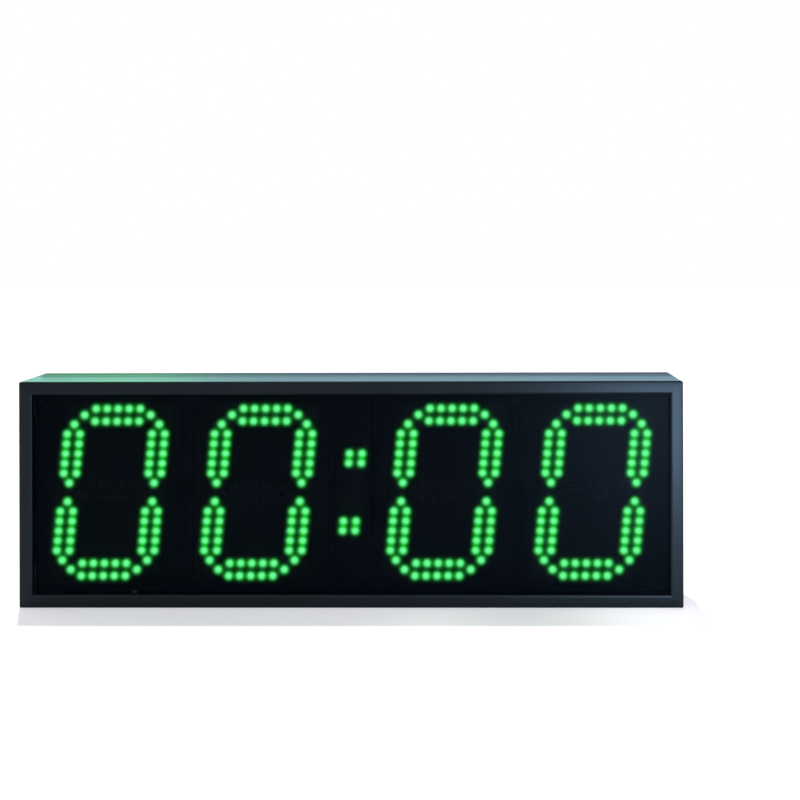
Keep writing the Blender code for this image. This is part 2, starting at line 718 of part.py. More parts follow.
def cover_holes():
    """Every opening in the rear cover, as outlines about its middle, in world X and Z."""
    holes = []
    for x in COVER_SCREW_X:
        for z in (COVER_SCREW_INSET, CASE_HEIGHT - COVER_SCREW_INSET):
            holes.append(circle(SCREW_RADIUS + CLEARANCE, SMALL_ROUND_STEPS, (x, z)))
    for x in HANGER_X:
        holes.append(circle(HANGER_THREAD_RADIUS + CLEARANCE, SMALL_ROUND_STEPS, (x, HANGER_Z)))
    for place in button_places():
        holes.append(circle(BUTTON_RADIUS + CLEARANCE, ROUND_STEPS, place))
    holes.append(
        rectangle(
            SWITCH_BODY_WIDTH + 2 * CLEARANCE, SWITCH_BODY_HEIGHT + 2 * CLEARANCE, SWITCH_PLACE
        )
    )
    holes.append(circle(SOCKET_THREAD_RADIUS + CLEARANCE, ROUND_STEPS, SOCKET_PLACE))
    buzzer = on_control_board(BUZZER_OFFSET)
    for centre in (buzzer, *circle(SOUND_HOLE_RING, SOUND_HOLE_COUNT, buzzer)):
        holes.append(circle(SOUND_HOLE_RADIUS, SMALL_ROUND_STEPS, centre))
    for side in (-1, 1):
        middle = side * (CASE_WIDTH / 2 - VENT_FROM_SIDE)
        for i in range(VENT_COUNT):
            place = (middle + (i - (VENT_COUNT - 1) / 2) * VENT_PITCH, VENT_FROM_BOTTOM)
            slot = rounded_rectangle(VENT_WIDTH, VENT_HEIGHT, VENT_WIDTH / 2, place, CORNER_STEPS - 1)
            holes.append(slot)
    return [[(x, z - MIDDLE_Z) for x, z in points] for points in holes]


def on_control_board(offset):
    """The world (x, z) of a place given from the control board's middle."""
    return (CONTROL_BOARD_PLACE[0] + offset[0], CONTROL_BOARD_PLACE[1] + offset[1])


def button_places():
    middle = (BUTTON_COUNT - 1) / 2
    return [
        on_control_board(((i - middle) * BUTTON_PITCH, -BUTTON_DROP)) for i in range(BUTTON_COUNT)
    ]


def standoff_places():
    reach_x = CONTROL_BOARD_WIDTH / 2 - STANDOFF_INSET
    reach_z = CONTROL_BOARD_HEIGHT / 2 - STANDOFF_INSET
    return [on_control_board((i * reach_x, j * reach_z)) for i in (-1, 1) for j in (-1, 1)]


def make_cover(painted_steel):
    edge = WALL + COVER_EDGE_GAP
    outer = rounded_rectangle(CASE_WIDTH - 2 * edge, CASE_HEIGHT - 2 * edge, COVER_CORNER)
    sheet = flat_mesh([outer, *cover_holes()], COVER_THICKNESS)
    standoffs = tapered_mesh(
        [
            (x, z - MIDDLE_Z, COVER_THICKNESS / 2 - HIDDEN_OVERLAP)
            for x, z in standoff_places()
        ],
        STANDOFF_RADIUS,
        STANDOFF_RADIUS,
        STANDOFF_HEIGHT + HIDDEN_OVERLAP,
        HEX_SIDES,
    )
    add(
        "rear_cover",
        combined_mesh(sheet, standoffs, "UNION", "MANIFOLD"),
        painted_steel,
        at_depth(0, COVER_DEPTH + COVER_THICKNESS / 2, MIDDLE_Z),
        FACING_FRONT,
    )


def make_cover_screws(zinc):
    profile = [
        (0, SCREW_HEAD_HEIGHT),
        (SCREW_HEAD_RADIUS - HEAD_CHAMFER, SCREW_HEAD_HEIGHT),
        (SCREW_HEAD_RADIUS, SCREW_HEAD_HEIGHT - HEAD_CHAMFER),
        (SCREW_HEAD_RADIUS, 0),
        (SCREW_RADIUS, 0),
        (SCREW_RADIUS, -SCREW_LENGTH),
        (0, -SCREW_LENGTH),
    ]
    screw = turned_mesh(profile, SMALL_ROUND_STEPS)
    for column, x in zip(("left", "middle", "right"), COVER_SCREW_X):
        for row, z in (("lower", COVER_SCREW_INSET), ("upper", CASE_HEIGHT - COVER_SCREW_INSET)):
            add(
                f"cover_screw_{row}_{column}",
                screw,
                zinc,
                at_depth(x, COVER_FACE_DEPTH + CLEARANCE, z),
                FACING_REAR,
                is_round=True,
            )


def over_control_board(offset, height=0.0):
    """The world point this high off the control board's rear face."""
    x, z = on_control_board(offset)
    return at_depth(x, CONTROL_FACE_DEPTH + height, z)


def make_control_board(board, black, steel, ferrite):
    x, z = CONTROL_BOARD_PLACE
    add(
        "control_board",
        flat_mesh([rectangle(CONTROL_BOARD_WIDTH, CONTROL_BOARD_HEIGHT)], BOARD_THICKNESS),
        board,
        at_depth(x, CONTROL_BOARD_DEPTH + BOARD_THICKNESS / 2, z),
        FACING_FRONT,
    )
    add(
        "control_chip",
        box_mesh(CHIP_SIDE, CHIP_THICKNESS, CHIP_SIDE),
        black,
        over_control_board(CHIP_OFFSET, CHIP_THICKNESS / 2),
    )
    buzzer = [
        (0, BUZZER_HEIGHT - BUZZER_HOLE_DEPTH),
        (BUZZER_HOLE_RADIUS, BUZZER_HEIGHT - BUZZER_HOLE_DEPTH),
        (BUZZER_HOLE_RADIUS, BUZZER_HEIGHT),
        (BUZZER_RADIUS, BUZZER_HEIGHT),
        (BUZZER_RADIUS, 0),
        (0, 0),
    ]
    place = over_control_board(BUZZER_OFFSET)
    add("buzzer", turned_mesh(buzzer), black, place, FACING_REAR, is_round=True)
    coil = [(0, COIL_HEIGHT), (COIL_RADIUS, COIL_HEIGHT), (COIL_RADIUS, 0), (0, 0)]
    place = over_control_board(COIL_OFFSET)
    add("power_coil", turned_mesh(coil), ferrite, place, FACING_REAR, is_round=True)
    make_clock_cell(black, steel)


def make_clock_cell(black, steel):
    """A coin cell in a round cup that opens to the rear."""
    bore = CELL_RADIUS + CLEARANCE
    wall = bore + CELL_HOLDER_WALL
    floor = CELL_HOLDER_WALL
    rim = floor + CLEARANCE + CELL_THICKNESS
    cup = [(0, floor), (bore, floor), (bore, rim), (wall, rim), (wall, 0), (0, 0)]
    cell = [(0, CELL_THICKNESS), (CELL_RADIUS, CELL_THICKNESS), (CELL_RADIUS, 0), (0, 0)]
    place = over_control_board(CELL_OFFSET)
    add("cell_holder", turned_mesh(cup), black, place, FACING_REAR, is_round=True)
    place = over_control_board(CELL_OFFSET, floor + CLEARANCE)
    add("clock_cell", turned_mesh(cell), steel, place, FACING_REAR, is_round=True)


def make_buttons(grey, black):
    """Caps that slide in the cover over the switches on the control board."""
    flange_face = COVER_DEPTH - CLEARANCE
    top = COVER_FACE_DEPTH + BUTTON_PROUD - flange_face
    profile = [
        (0, top),
        (BUTTON_RADIUS - BUTTON_CHAMFER, top),
        (BUTTON_RADIUS, top - BUTTON_CHAMFER),
        (BUTTON_RADIUS, 0),
        (BUTTON_FLANGE_RADIUS, 0),
        (BUTTON_FLANGE_RADIUS, -BUTTON_FLANGE_HEIGHT),
        (0, -BUTTON_FLANGE_HEIGHT),
    ]
    cap = turned_mesh(profile)
    plunger_end = flange_face - BUTTON_FLANGE_HEIGHT - BUTTON_TRAVEL - CLEARANCE
    plunger_foot = TACT_HEIGHT - HIDDEN_OVERLAP
    plunger = tapered_mesh(
        [(0, 0, plunger_foot)],
        TACT_PLUNGER_RADIUS,
        TACT_PLUNGER_RADIUS,
        plunger_end - CONTROL_FACE_DEPTH - plunger_foot,
        SMALL_ROUND_STEPS,
    )
    body = box_mesh(TACT_SIDE, TACT_SIDE, TACT_HEIGHT, (0, 0, TACT_HEIGHT / 2))
    tact = combined_mesh(body, plunger, "UNION")
    for i, (x, z) in enumerate(button_places(), 1):
        place = at_depth(x, flange_face, z)
        add(f"button_{i}", cap, grey, place, FACING_REAR, is_round=True)
        place = at_depth(x, CONTROL_FACE_DEPTH, z)
        add(f"button_switch_{i}", tact, black, place, FACING_REAR)


def switch_housing_mesh():
    """A flanged box with a pocket for the rocker, holes for its pin and two terminals, about the pivot."""
    face = ROCKER_PIVOT_BELOW_COVER_FACE + CLEARANCE
    end = face - SWITCH_BODY_LENGTH
    rim = face + SWITCH_FLANGE_THICKNESS
    flange = span_mesh(
        SWITCH_BODY_WIDTH + 2 * SWITCH_FLANGE_LIP,
        SWITCH_BODY_HEIGHT + 2 * SWITCH_FLANGE_LIP,
        face,
        rim,
    )
    body = span_mesh(SWITCH_BODY_WIDTH, SWITCH_BODY_HEIGHT, end, face + HIDDEN_OVERLAP)
    pocket = span_mesh(
        SWITCH_BODY_WIDTH - 2 * SWITCH_WALL,
        2 * (ROCKER_HALF_LENGTH + SWITCH_END_ROOM),
        -ROCKER_SKIRT_DEPTH - SWITCH_FLOOR_ROOM,
        rim + CUTTER_REACH,
    )
    hole = cross_pin_mesh(ROCKER_PIN_RADIUS + CLEARANCE, SWITCH_BODY_WIDTH + 2 * CUTTER_REACH)
    housing = combined_mesh(flange, body, "UNION")
    housing = combined_mesh(housing, pocket, "DIFFERENCE")
    housing = combined_mesh(housing, hole, "DIFFERENCE")
    for side in (-1, 1):
        blade = span_mesh(
            TERMINAL_WIDTH,
            TERMINAL_THICKNESS,
            end - TERMINAL_LENGTH,
            end + HIDDEN_OVERLAP,
            side * TERMINAL_SPACING / 2,
        )
        housing = combined_mesh(housing, blade, "UNION")
    return housing


def span_mesh(width, height, start, end, z=0.0):
    """A box from one y to another."""
    return box_mesh(width, end - start, height, (0, (start + end) / 2, z))


def cross_pin_mesh(radius, length):
    """A round pin along X, about its middle."""
    pin = tapered_mesh([(0, 0, -length / 2)], radius, radius, length, SMALL_ROUND_STEPS)
    pin.transform(Matrix.Rotation(math.radians(90), 4, "Y"))
    return pin


def rocker_mesh():
    """A shallow V seen from the side, with its skirt and its cross pin, level about the pivot."""
    shoulder = ROCKER_MIDDLE_HEIGHT / 2
    outline = [
        (ROCKER_MIDDLE_HEIGHT, 0),
        (ROCKER_END_HEIGHT, ROCKER_HALF_LENGTH),
        (shoulder, ROCKER_HALF_LENGTH),
        (-ROCKER_SKIRT_DEPTH, ROCKER_SKIRT_REACH),
        (-ROCKER_SKIRT_DEPTH, -ROCKER_SKIRT_REACH),
        (shoulder, -ROCKER_HALF_LENGTH),
        (ROCKER_END_HEIGHT, -ROCKER_HALF_LENGTH),
    ]
    rocker = flat_mesh([outline], ROCKER_WIDTH)
    outline_to_world = Matrix(((0, 0, 1), (1, 0, 0), (0, 1, 0))).to_4x4()
    rocker.transform(outline_to_world)
    pin_length = SWITCH_BODY_WIDTH - 2 * (SWITCH_WALL - ROCKER_PIN_IN_WALL)
    return combined_mesh(rocker, cross_pin_mesh(ROCKER_PIN_RADIUS, pin_length), "UNION")


def make_switch(black, grey):
    """At rest the rocker's upper end is pressed in, which is on."""
    x, z = SWITCH_PLACE
    pivot = at_depth(x, ROCKER_PIVOT_DEPTH, z)
    add("switch_housing", switch_housing_mesh(), black, pivot)
    add("switch_rocker", rocker_mesh(), grey, pivot, (ROCKER_TILT, 0, 0))


def make_socket(black, nickel):
    """A round power socket with a centre pin, held by a nut outside the cover."""
    seat = COVER_DEPTH - CLEARANCE
    mouth = COVER_FACE_DEPTH + SOCKET_PROUD - seat
    floor = mouth - SOCKET_BORE_DEPTH
    profile = [
        (0, mouth - SOCKET_PIN_RECESS),
        (SOCKET_PIN_RADIUS, mouth - SOCKET_PIN_RECESS),
        (SOCKET_PIN_RADIUS, floor),
        (SOCKET_BORE_RADIUS, floor),
        (SOCKET_BORE_RADIUS, mouth),
        (SOCKET_THREAD_RADIUS, mouth),
        (SOCKET_THREAD_RADIUS, 0),
        (SOCKET_FLANGE_RADIUS, 0),
        (SOCKET_FLANGE_RADIUS, -SOCKET_FLANGE_HEIGHT),
        (SOCKET_BODY_RADIUS, -SOCKET_FLANGE_HEIGHT),
        (SOCKET_BODY_RADIUS, -SOCKET_LENGTH_BEHIND),
        (0, -SOCKET_LENGTH_BEHIND),
    ]
    x, z = SOCKET_PLACE
    place = at_depth(x, seat, z)
    add("power_socket", turned_mesh(profile), black, place, FACING_REAR, is_round=True)
    bore = circle(SOCKET_THREAD_RADIUS + CLEARANCE)
    add(
        "socket_nut",
        flat_mesh([circle(SOCKET_NUT_RADIUS, HEX_SIDES), bore], SOCKET_NUT_HEIGHT),
        nickel,
        at_depth(x, COVER_FACE_DEPTH + CLEARANCE + SOCKET_NUT_HEIGHT / 2, z),
        FACING_FRONT,
    )


def make_hangers(zinc):
    """Plates that hang down behind the case at rest and swing up over its top edge on shouldered screws."""
    plate = rounded_rectangle(
        HANGER_WIDTH,
        HANGER_LENGTH + HANGER_WIDTH,
        HANGER_WIDTH / 2,
        (0, -HANGER_LENGTH / 2),
        2 * CORNER_STEPS,
    )
    pivot_hole = circle(SHOULDER_RADIUS + CLEARANCE)
    eye = circle(HANGER_EYE_RADIUS, ROUND_STEPS, (0, -HANGER_LENGTH))
    hanger = flat_mesh([plate, pivot_hole, eye], HANGER_THICKNESS)
    seat = COVER_FACE_DEPTH + CLEARANCE
    collar = CASE_DEPTH - seat
    shoulder = collar + HANGER_THICKNESS + 2 * CLEARANCE
    top = shoulder + HANGER_HEAD_HEIGHT
    profile = [
        (0, top),
        (HANGER_HEAD_RADIUS - HEAD_CHAMFER, top),
        (HANGER_HEAD_RADIUS, top - HEAD_CHAMFER),
        (HANGER_HEAD_RADIUS, shoulder),
        (SHOULDER_RADIUS, shoulder),
        (SHOULDER_RADIUS, collar),
        (COLLAR_RADIUS, collar),
        (COLLAR_RADIUS, 0),
        (HANGER_THREAD_RADIUS, 0),
        (HANGER_THREAD_RADIUS, -HANGER_THREAD_LENGTH),
        (0, -HANGER_THREAD_LENGTH),
    ]
    screw = turned_mesh(profile)
    for side, x in zip(("left", "right"), HANGER_X):
        place = at_depth(x, HANGER_DEPTH + HANGER_THICKNESS / 2, HANGER_Z)
        add(f"hanger_{side}", hanger, zinc, place, FACING_FRONT)
        place = at_depth(x, seat, HANGER_Z)
        add(f"hanger_screw_{side}", screw, zinc, place, FACING_REAR, is_round=True)


def strip_mesh(path):
    """A flat cable: a path of (x, depth) points thickened to both sides and drawn out along Z."""
    left, right = [], []
    for i, point in enumerate(path):
        before, after = path[max(i - 1, 0)], path[min(i + 1, len(path) - 1)]
        along = Vector((after[0] - before[0], after[1] - before[1])).normalized()
        offset = Vector((-along.y, along.x)) * RIBBON_THICKNESS / 2
        left.append(tuple(Vector(point) + offset))
        right.append(tuple(Vector(point) - offset))
    return flat_mesh([left + right[::-1]], RIBBON_WIDTH)


def make_ribbons(ribbon):
    """Arches from board to board, and the main cable from the control board to the third digit."""
    back = BOARD_BACK_DEPTH + CLEARANCE
    for i in range(len(DIGIT_X) - 1):
        start = DIGIT_X[i] + BOARD_WIDTH / 2 - RIBBON_LANDING
        end = DIGIT_X[i + 1] - BOARD_WIDTH / 2 + RIBBON_LANDING
        turns = [math.pi * k / RIBBON_STEPS for k in range(RIBBON_STEPS + 1)]
        path = [
            (
                start + (end - start) * (1 - math.cos(t)) / 2,
                back + RIBBON_ARCH * math.sin(t),
            )
            for t in turns
        ]
        add(f"link_ribbon_{i + 1}", strip_mesh(path), ribbon, at_depth(0, 0, MIDDLE_Z))
    board_x = INNER_DIGIT_X + MAIN_RIBBON_OFFSET
    control_x = CONTROL_BOARD_PLACE[0] + MAIN_RIBBON_OFFSET
    rise = CONTROL_BOARD_DEPTH - CLEARANCE - back
    path = []
    for k in range(RIBBON_STEPS + 1):
        share = k / RIBBON_STEPS
        swing = (1 - math.cos(math.pi * share)) / 2
        path.append((board_x + (control_x - board_x) * swing, back + rise * share))
    add("main_ribbon", strip_mesh(path), ribbon, at_depth(0, 0, MIDDLE_Z))


def lead_mesh(start, end):
    """A round lead that leaves both ends straight towards the front, with a cubic Bezier curve between.

    The curve's middle lies LEAD_BEND_SHARE of the slack in front of its ends.
    """
    straight = Vector((0, -LEAD_STRAIGHT, 0))
    slack = Vector((0, -LEAD_SLACK, 0))
    corners = (start + straight, start + straight + slack, end + straight + slack, end + straight)
    points = [start]
    for k in range(LEAD_STEPS + 1):
        t = k / LEAD_STEPS
        weights = ((1 - t) ** 3, 3 * t * (1 - t) ** 2, 3 * t * t * (1 - t), t**3)
        points.append(sum((w * c for w, c in zip(weights, corners)), Vector()))
    points.append(end)
    curve = bpy.data.curves.new("lead", "CURVE")
    curve.dimensions = "3D"
    curve.bevel_depth = LEAD_RADIUS
    curve.bevel_resolution = 2
    curve.use_fill_caps = True
    spline = curve.splines.new("POLY")
    spline.points.add(len(points) - 1)
    for point, place in zip(spline.points, points):
        point.co = (*place, 1)
    return weld(evaluated_mesh(bpy.data.objects.new("lead", curve)))


def make_leads(black):
    """Socket to switch, and switch to control board."""
    offset = TERMINAL_SPACING / 2
    x, z = SWITCH_PLACE
    start = at_depth(SOCKET_PLACE[0], SOCKET_END_DEPTH, SOCKET_PLACE[1])
    end = at_depth(x, SWITCH_END_DEPTH, z - offset)
    add("power_lead", lead_mesh(start, end), black, is_round=True)
    start = at_depth(x, SWITCH_END_DEPTH, z + offset)
    landing_x, landing_z = on_control_board(SUPPLY_OFFSET)
    end = at_depth(landing_x, CONTROL_BOARD_DEPTH - CLEARANCE, landing_z)
    add("supply_lead", lead_mesh(start, end), black, is_round=True)


def main():
    aluminium = finish("black_anodised_aluminium", (0.02, 0.023, 0.028), 0.38, 0.7)
    bare_aluminium = finish("bare_aluminium", (0.55, 0.56, 0.58), 0.4, 1.0)
    smoked = finish("smoked_acrylic", (0.008, 0.01, 0.014), 0.06)
    foam = finish("black_foam", (0.02, 0.02, 0.02), 0.9)
    board = finish("dark_circuit_board", (0.006, 0.02, 0.012), 0.5)
    lamp = finish("green_lamps", (0.05, 0.9, 0.2), 0.2)
    black = finish("black_plastic", (0.02, 0.02, 0.022), 0.45)
    grey = finish("dark_grey_plastic", (0.08, 0.08, 0.085), 0.5)
    painted = finish("painted_steel", (0.03, 0.031, 0.033), 0.6)
    zinc = finish("zinc_plated_steel", (0.5, 0.5, 0.48), 0.35, 1.0)
    ferrite = finish("coil_ferrite", (0.09, 0.085, 0.08), 0.6)
    ribbon = finish("grey_ribbon", (0.35, 0.35, 0.36), 0.55)

    make_case(aluminium, bare_aluminium)
    make_window(smoked, foam)
    make_display(board, lamp)
    make_rails(bare_aluminium)
    make_receiver(black)
    make_cover(painted)
    make_cover_screws(zinc)
    make_control_board(board, black, zinc, ferrite)
    make_buttons(grey, black)
    make_switch(black, grey)
    make_socket(black, zinc)
    make_hangers(zinc)
    make_ribbons(ribbon)
    make_leads(black)


clear_scene()
PARTS = bpy.data.collections.new("sports_timer")
CUTTERS = bpy.data.collections.new("cutters")
for collection in (PARTS, CUTTERS):
    bpy.context.scene.collection.children.link(collection)
main()
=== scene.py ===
"""Looks of a sports timer: slanted green lamp digits behind a smoked window in a black aluminium case.

Metres, +Z up. The front looks along -Y. A depth is measured behind the front face of the case.
"""

import math

import bpy
import numpy as np
from bpy.props import FloatProperty, FloatVectorProperty, IntProperty, PointerProperty, StringProperty
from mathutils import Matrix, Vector


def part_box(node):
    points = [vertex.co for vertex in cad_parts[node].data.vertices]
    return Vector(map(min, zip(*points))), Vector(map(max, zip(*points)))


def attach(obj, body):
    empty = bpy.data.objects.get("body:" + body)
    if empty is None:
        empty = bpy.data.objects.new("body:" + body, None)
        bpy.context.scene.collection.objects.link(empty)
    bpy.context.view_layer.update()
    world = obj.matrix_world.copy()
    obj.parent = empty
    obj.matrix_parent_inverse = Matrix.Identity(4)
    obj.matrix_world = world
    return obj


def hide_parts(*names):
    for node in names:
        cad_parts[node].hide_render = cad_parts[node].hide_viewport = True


bl_info = {
    "name": "Sports timer",
    "version": (1, 0, 0),
    "blender": (4, 5, 0),
    "location": "View3D > Sidebar > Timer",
    "description": "Finishes a sports timer around its frame and sets up a small studio",
    "category": "Object",
}

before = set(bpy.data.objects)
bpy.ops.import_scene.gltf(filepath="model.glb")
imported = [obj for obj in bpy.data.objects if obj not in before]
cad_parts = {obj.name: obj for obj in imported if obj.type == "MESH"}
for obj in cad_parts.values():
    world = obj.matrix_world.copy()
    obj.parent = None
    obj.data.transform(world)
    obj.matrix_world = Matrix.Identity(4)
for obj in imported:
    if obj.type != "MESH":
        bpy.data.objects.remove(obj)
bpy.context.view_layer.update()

MM = 0.001
CLEARANCE = 0.3 * MM
WELD_DISTANCE = 0.0001 * MM
LEAST_RADIUS = 0.05 * MM
SHARP_ANGLE = math.radians(35)

# Steps round a circle
LENS_STEPS = 12
HOLE_STEPS = 16
POST_STEPS = 24
RING_STEPS = 32
ROUND_STEPS = 40
HEAD_STEPS = 48
NUT_STEPS = 72


def low(node):
    return np.array(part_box(node)[0])


def high(node):
    return np.array(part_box(node)[1])


def middle(node):
    return (low(node) + high(node)) / 2


def size(node):
    return high(node) - low(node)


# The case and its cover, as the frame has them
FRONT = low("frame_bottom")[1]
CASE_WIDTH = high("frame_right")[0] - low("frame_left")[0]
CASE_DEPTH = size("frame_bottom")[1]
CASE_HEIGHT = high("frame_top")[2]
COVER_FACE = high("rear_cover")[1] - FRONT
COVER_THICKNESS = 1.5 * MM
COVER_BACK = COVER_FACE - COVER_THICKNESS

# A shape's own Z axis turned to the rear or to the front
REARWARD = np.array([[1, 0, 0], [0, 0, 1], [0, -1, 0]], float)
FORWARD = np.array([[1, 0, 0], [0, 0, -1], [0, 1, 0]], float)


def seen_from_front(node):
    """The node's middle as (x, z)."""
    return middle(node)[[0, 2]]


def put(surface, node, y, facing=FORWARD):
    """Turned to the front or the rear, over the node's middle and from this y on."""
    x, z = seen_from_front(node)
    return surface.turned(facing).at((x, y, z))


class Surface:
    """Points, and faces as one run of point numbers with how many of them each face takes."""

    def __init__(self, points, corners, counts):
        self.points = np.asarray(points, float)
        self.corners = np.asarray(corners, int)
        self.counts = np.asarray(counts, int)

    def __add__(self, other):
        return Surface(
            np.vstack([self.points, other.points]),
            np.concatenate([self.corners, other.corners + len(self.points)]),
            np.concatenate([self.counts, other.counts]),
        )

    def turned(self, matrix):
        return Surface(self.points @ np.asarray(matrix).T, self.corners, self.counts)

    def at(self, place):
        return Surface(self.points + place, self.corners, self.counts)

    def repeated(self, places):
        """Once at each place."""
        places = np.atleast_2d(places)
        shifts = np.arange(len(places)) * len(self.points)
        return Surface(
            (places[:, None] + self.points).reshape(-1, 3),
            (shifts[:, None] + self.corners).ravel(),
            np.tile(self.counts, len(places)),
        )

    def faces(self):
        """For each corner, the number of its face."""
        return np.repeat(np.arange(len(self.counts)), self.counts)

    def turned_over(self):
        """Each face's corners the other way round."""
        ends = np.cumsum(self.counts)
        both_ends = (2 * ends - self.counts)[self.faces()] - 1
        return Surface(self.points, self.corners[both_ends - np.arange(len(self.corners))], self.counts)

    def welded(self):
        """Points at one place become one point, and faces without area go."""
        places = np.round(self.points / WELD_DISTANCE).astype(int)
        first, number = np.unique(places, axis=0, return_index=True, return_inverse=True)[1:]
        corners = number.ravel()[self.corners]
        face = self.faces()
        ends = np.cumsum(self.counts)
        following = np.arange(1, len(corners) + 1)
        following[ends - 1] = ends - self.counts
        kept = corners != corners[following]
        counts = np.bincount(face[kept], minlength=len(self.counts))
        kept &= counts[face] > 2
        return Surface(self.points[first], corners[kept], counts[counts > 2])

    def mesh(self, name):
        """The surface as a mesh, written as whole arrays."""
        made = bpy.data.meshes.new(name)
        made.vertices.add(len(self.points))
        made.vertices.foreach_set("co", self.points.astype(np.float32).ravel())
        made.loops.add(len(self.corners))
        made.loops.foreach_set("vertex_index", self.corners.astype(np.int32))
        made.polygons.add(len(self.counts))
        starts = np.cumsum(self.counts) - self.counts
        made.polygons.foreach_set("loop_start", starts.astype(np.int32))
        made.update(calc_edges=True)
        return made


def skin(rings, closes=False):
    """Quads between neighbouring rings, and a flat face over the first ring and over the last one.

    Rings run left round their axis and follow one another along it, so that the faces point outwards.
    Where they close, the last ring joins the first one and there is no flat face.
    """
    count, steps = rings.shape[:2]
    number = np.arange(count * steps).reshape(count, steps)
    if closes:
        number = np.vstack([number, number[:1]])
    here, after = number[:-1], number[1:]
    quads = np.stack([here, np.roll(here, -1, 1), np.roll(after, -1, 1), after], -1)
    corners, counts = quads.ravel(), np.full(quads.size // 4, 4)
    if not closes:
        corners = np.concatenate([corners, number[0][::-1], number[-1]])
        counts = np.append(counts, [steps, steps])
    return Surface(rings.reshape(-1, 3), corners, counts)


def circle(radius, steps, centre=(0, 0)):
    """Points at radius times cosine and sine of even turns, about the centre."""
    turn = 2 * np.pi * (np.arange(steps) + 0.5) / steps
    return np.stack([centre[0] + radius * np.cos(turn), centre[1] + radius * np.sin(turn)], -1)


def turned_rings(profile, steps):
    """Every (radius, height) of the profile as a circle of that radius at that height."""
    profile = np.asarray(profile, float)
    rings = np.empty((len(profile), steps, 3))
    rings[..., :2] = profile[:, :1, None] * circle(1, steps)
    rings[..., 2] = profile[:, 1:]
    return rings


def rounded_rings(width, height, corner, stations, steps=5):
    """Every (inset, level) of the stations as a rectangle with round corners, drawn in by the inset.

    A corner's point is the corner's centre plus what the inset leaves of the radius, times cosine and sine.
    """
    inset, level = np.asarray(stations, float).T[:, :, None]
    radius = np.maximum(corner - inset, LEAST_RADIUS)
    turn = np.linspace(0, np.pi / 2, steps) + np.pi / 2 * np.arange(4)[:, None]
    side_x = np.repeat([1, -1, -1, 1], steps)
    side_y = np.repeat([1, 1, -1, -1], steps)
    x = side_x * (width / 2 - inset - radius) + radius * np.cos(turn).ravel()
    y = side_y * (height / 2 - inset - radius) + radius * np.sin(turn).ravel()
    return np.stack([x, y, np.broadcast_to(level, x.shape)], -1)


def rounded_outline(width, height, corner, steps=5):
    """One flat rectangle with round corners, left round."""
    return rounded_rings(width, height, corner, [(0, 0)], steps)[0, :, :2]


def rounding(radius, steps, start, centre=(0, 0)):
    """A quarter circle from the start angle in degrees: radius times cosine and sine about the centre."""
    turn = np.radians(start + np.linspace(0, 90, steps + 1))
    return np.stack([centre[0] + radius * np.cos(turn), centre[1] + radius * np.sin(turn)], -1)


def extruded(outline, start, end):
    """A flat outline, given left round, drawn out from one level to another."""
    rings = np.empty((2, len(outline), 3))
    rings[..., :2] = outline
    rings[..., 2] = [[start], [end]]
    return skin(rings)


def plate(outlines, thickness, edge):
    """The first outline filled, the others as holes, with all edges rounded: a flat curve made a surface."""
    curve = bpy.data.curves.new("plate", "CURVE")
    curve.dimensions = "2D"
    curve.fill_mode = "BOTH"
    curve.extrude = thickness / 2 - edge
    curve.bevel_depth = edge
    curve.bevel_resolution = 1
    curve.offset = -edge
    for outline in outlines:
        spline = curve.splines.new("POLY")
        spline.points.add(len(outline) - 1)
        places = np.column_stack([outline, np.zeros(len(outline)), np.ones(len(outline))])
        spline.points.foreach_set("co", places.astype(np.float32).ravel())
        spline.use_cyclic_u = True
    holder = bpy.data.objects.new("plate", curve)
    bpy.context.scene.collection.objects.link(holder)
    bpy.context.view_layer.update()
    graph = bpy.context.evaluated_depsgraph_get()
    mesh = bpy.data.meshes.new_from_object(holder.evaluated_get(graph), depsgraph=graph)
    bpy.data.objects.remove(holder, do_unlink=True)
    points = np.empty(len(mesh.vertices) * 3)
    mesh.vertices.foreach_get("co", points)
    corners = np.empty(len(mesh.loops), int)
    mesh.loops.foreach_get("vertex_index", corners)
    counts = np.empty(len(mesh.polygons), int)
    mesh.polygons.foreach_get("loop_total", counts)
    bpy.data.meshes.remove(mesh)
    return Surface(points.reshape(-1, 3), corners, counts)


def piece(name, surface, material, body="case", replaces=(), bevel=0):
    """A named piece that rides on a body, takes the given finish and stands for some nodes."""
    mesh = surface.mesh(name)
    mesh.materials.append(material)
    mesh.shade_smooth()
    mesh.set_sharp_from_angle(angle=SHARP_ANGLE)
    made = bpy.data.objects.new(name, mesh)
    bpy.context.scene.collection.objects.link(made)
    if bevel:
        soften = made.modifiers.new("edges", "BEVEL")
        soften.width = bevel
        soften.segments = 2
        soften.limit_method = "ANGLE"
        soften.angle_limit = SHARP_ANGLE
        soften.harden_normals = True
    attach(made, body)
    if replaces:
        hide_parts(*replaces)
    return made


class Value:
    """A number that changes over a surface: a socket of a shader graph, with arithmetic."""

    def __init__(self, graph, socket):
        self.graph = graph
        self.socket = socket

    def math(self, operation, *values, clamp=False):
        settings = {"operation": operation, "use_clamp": clamp}
        return self.graph.node("ShaderNodeMath", settings, dict(enumerate(values)))

    def __add__(self, other):
        return self.math("ADD", self, other)

    def __sub__(self, other):
        return self.math("SUBTRACT", self, other)

    def __rsub__(self, other):
        return self.math("SUBTRACT", other, self)

    def __mul__(self, other):
        return self.math("MULTIPLY", self, other)

    def __pow__(self, other):
        return self.math("POWER", self, other)

    __radd__ = __add__
    __rmul__ = __mul__

    def clamped(self):
        return self.math("ADD", self, 0, clamp=True)


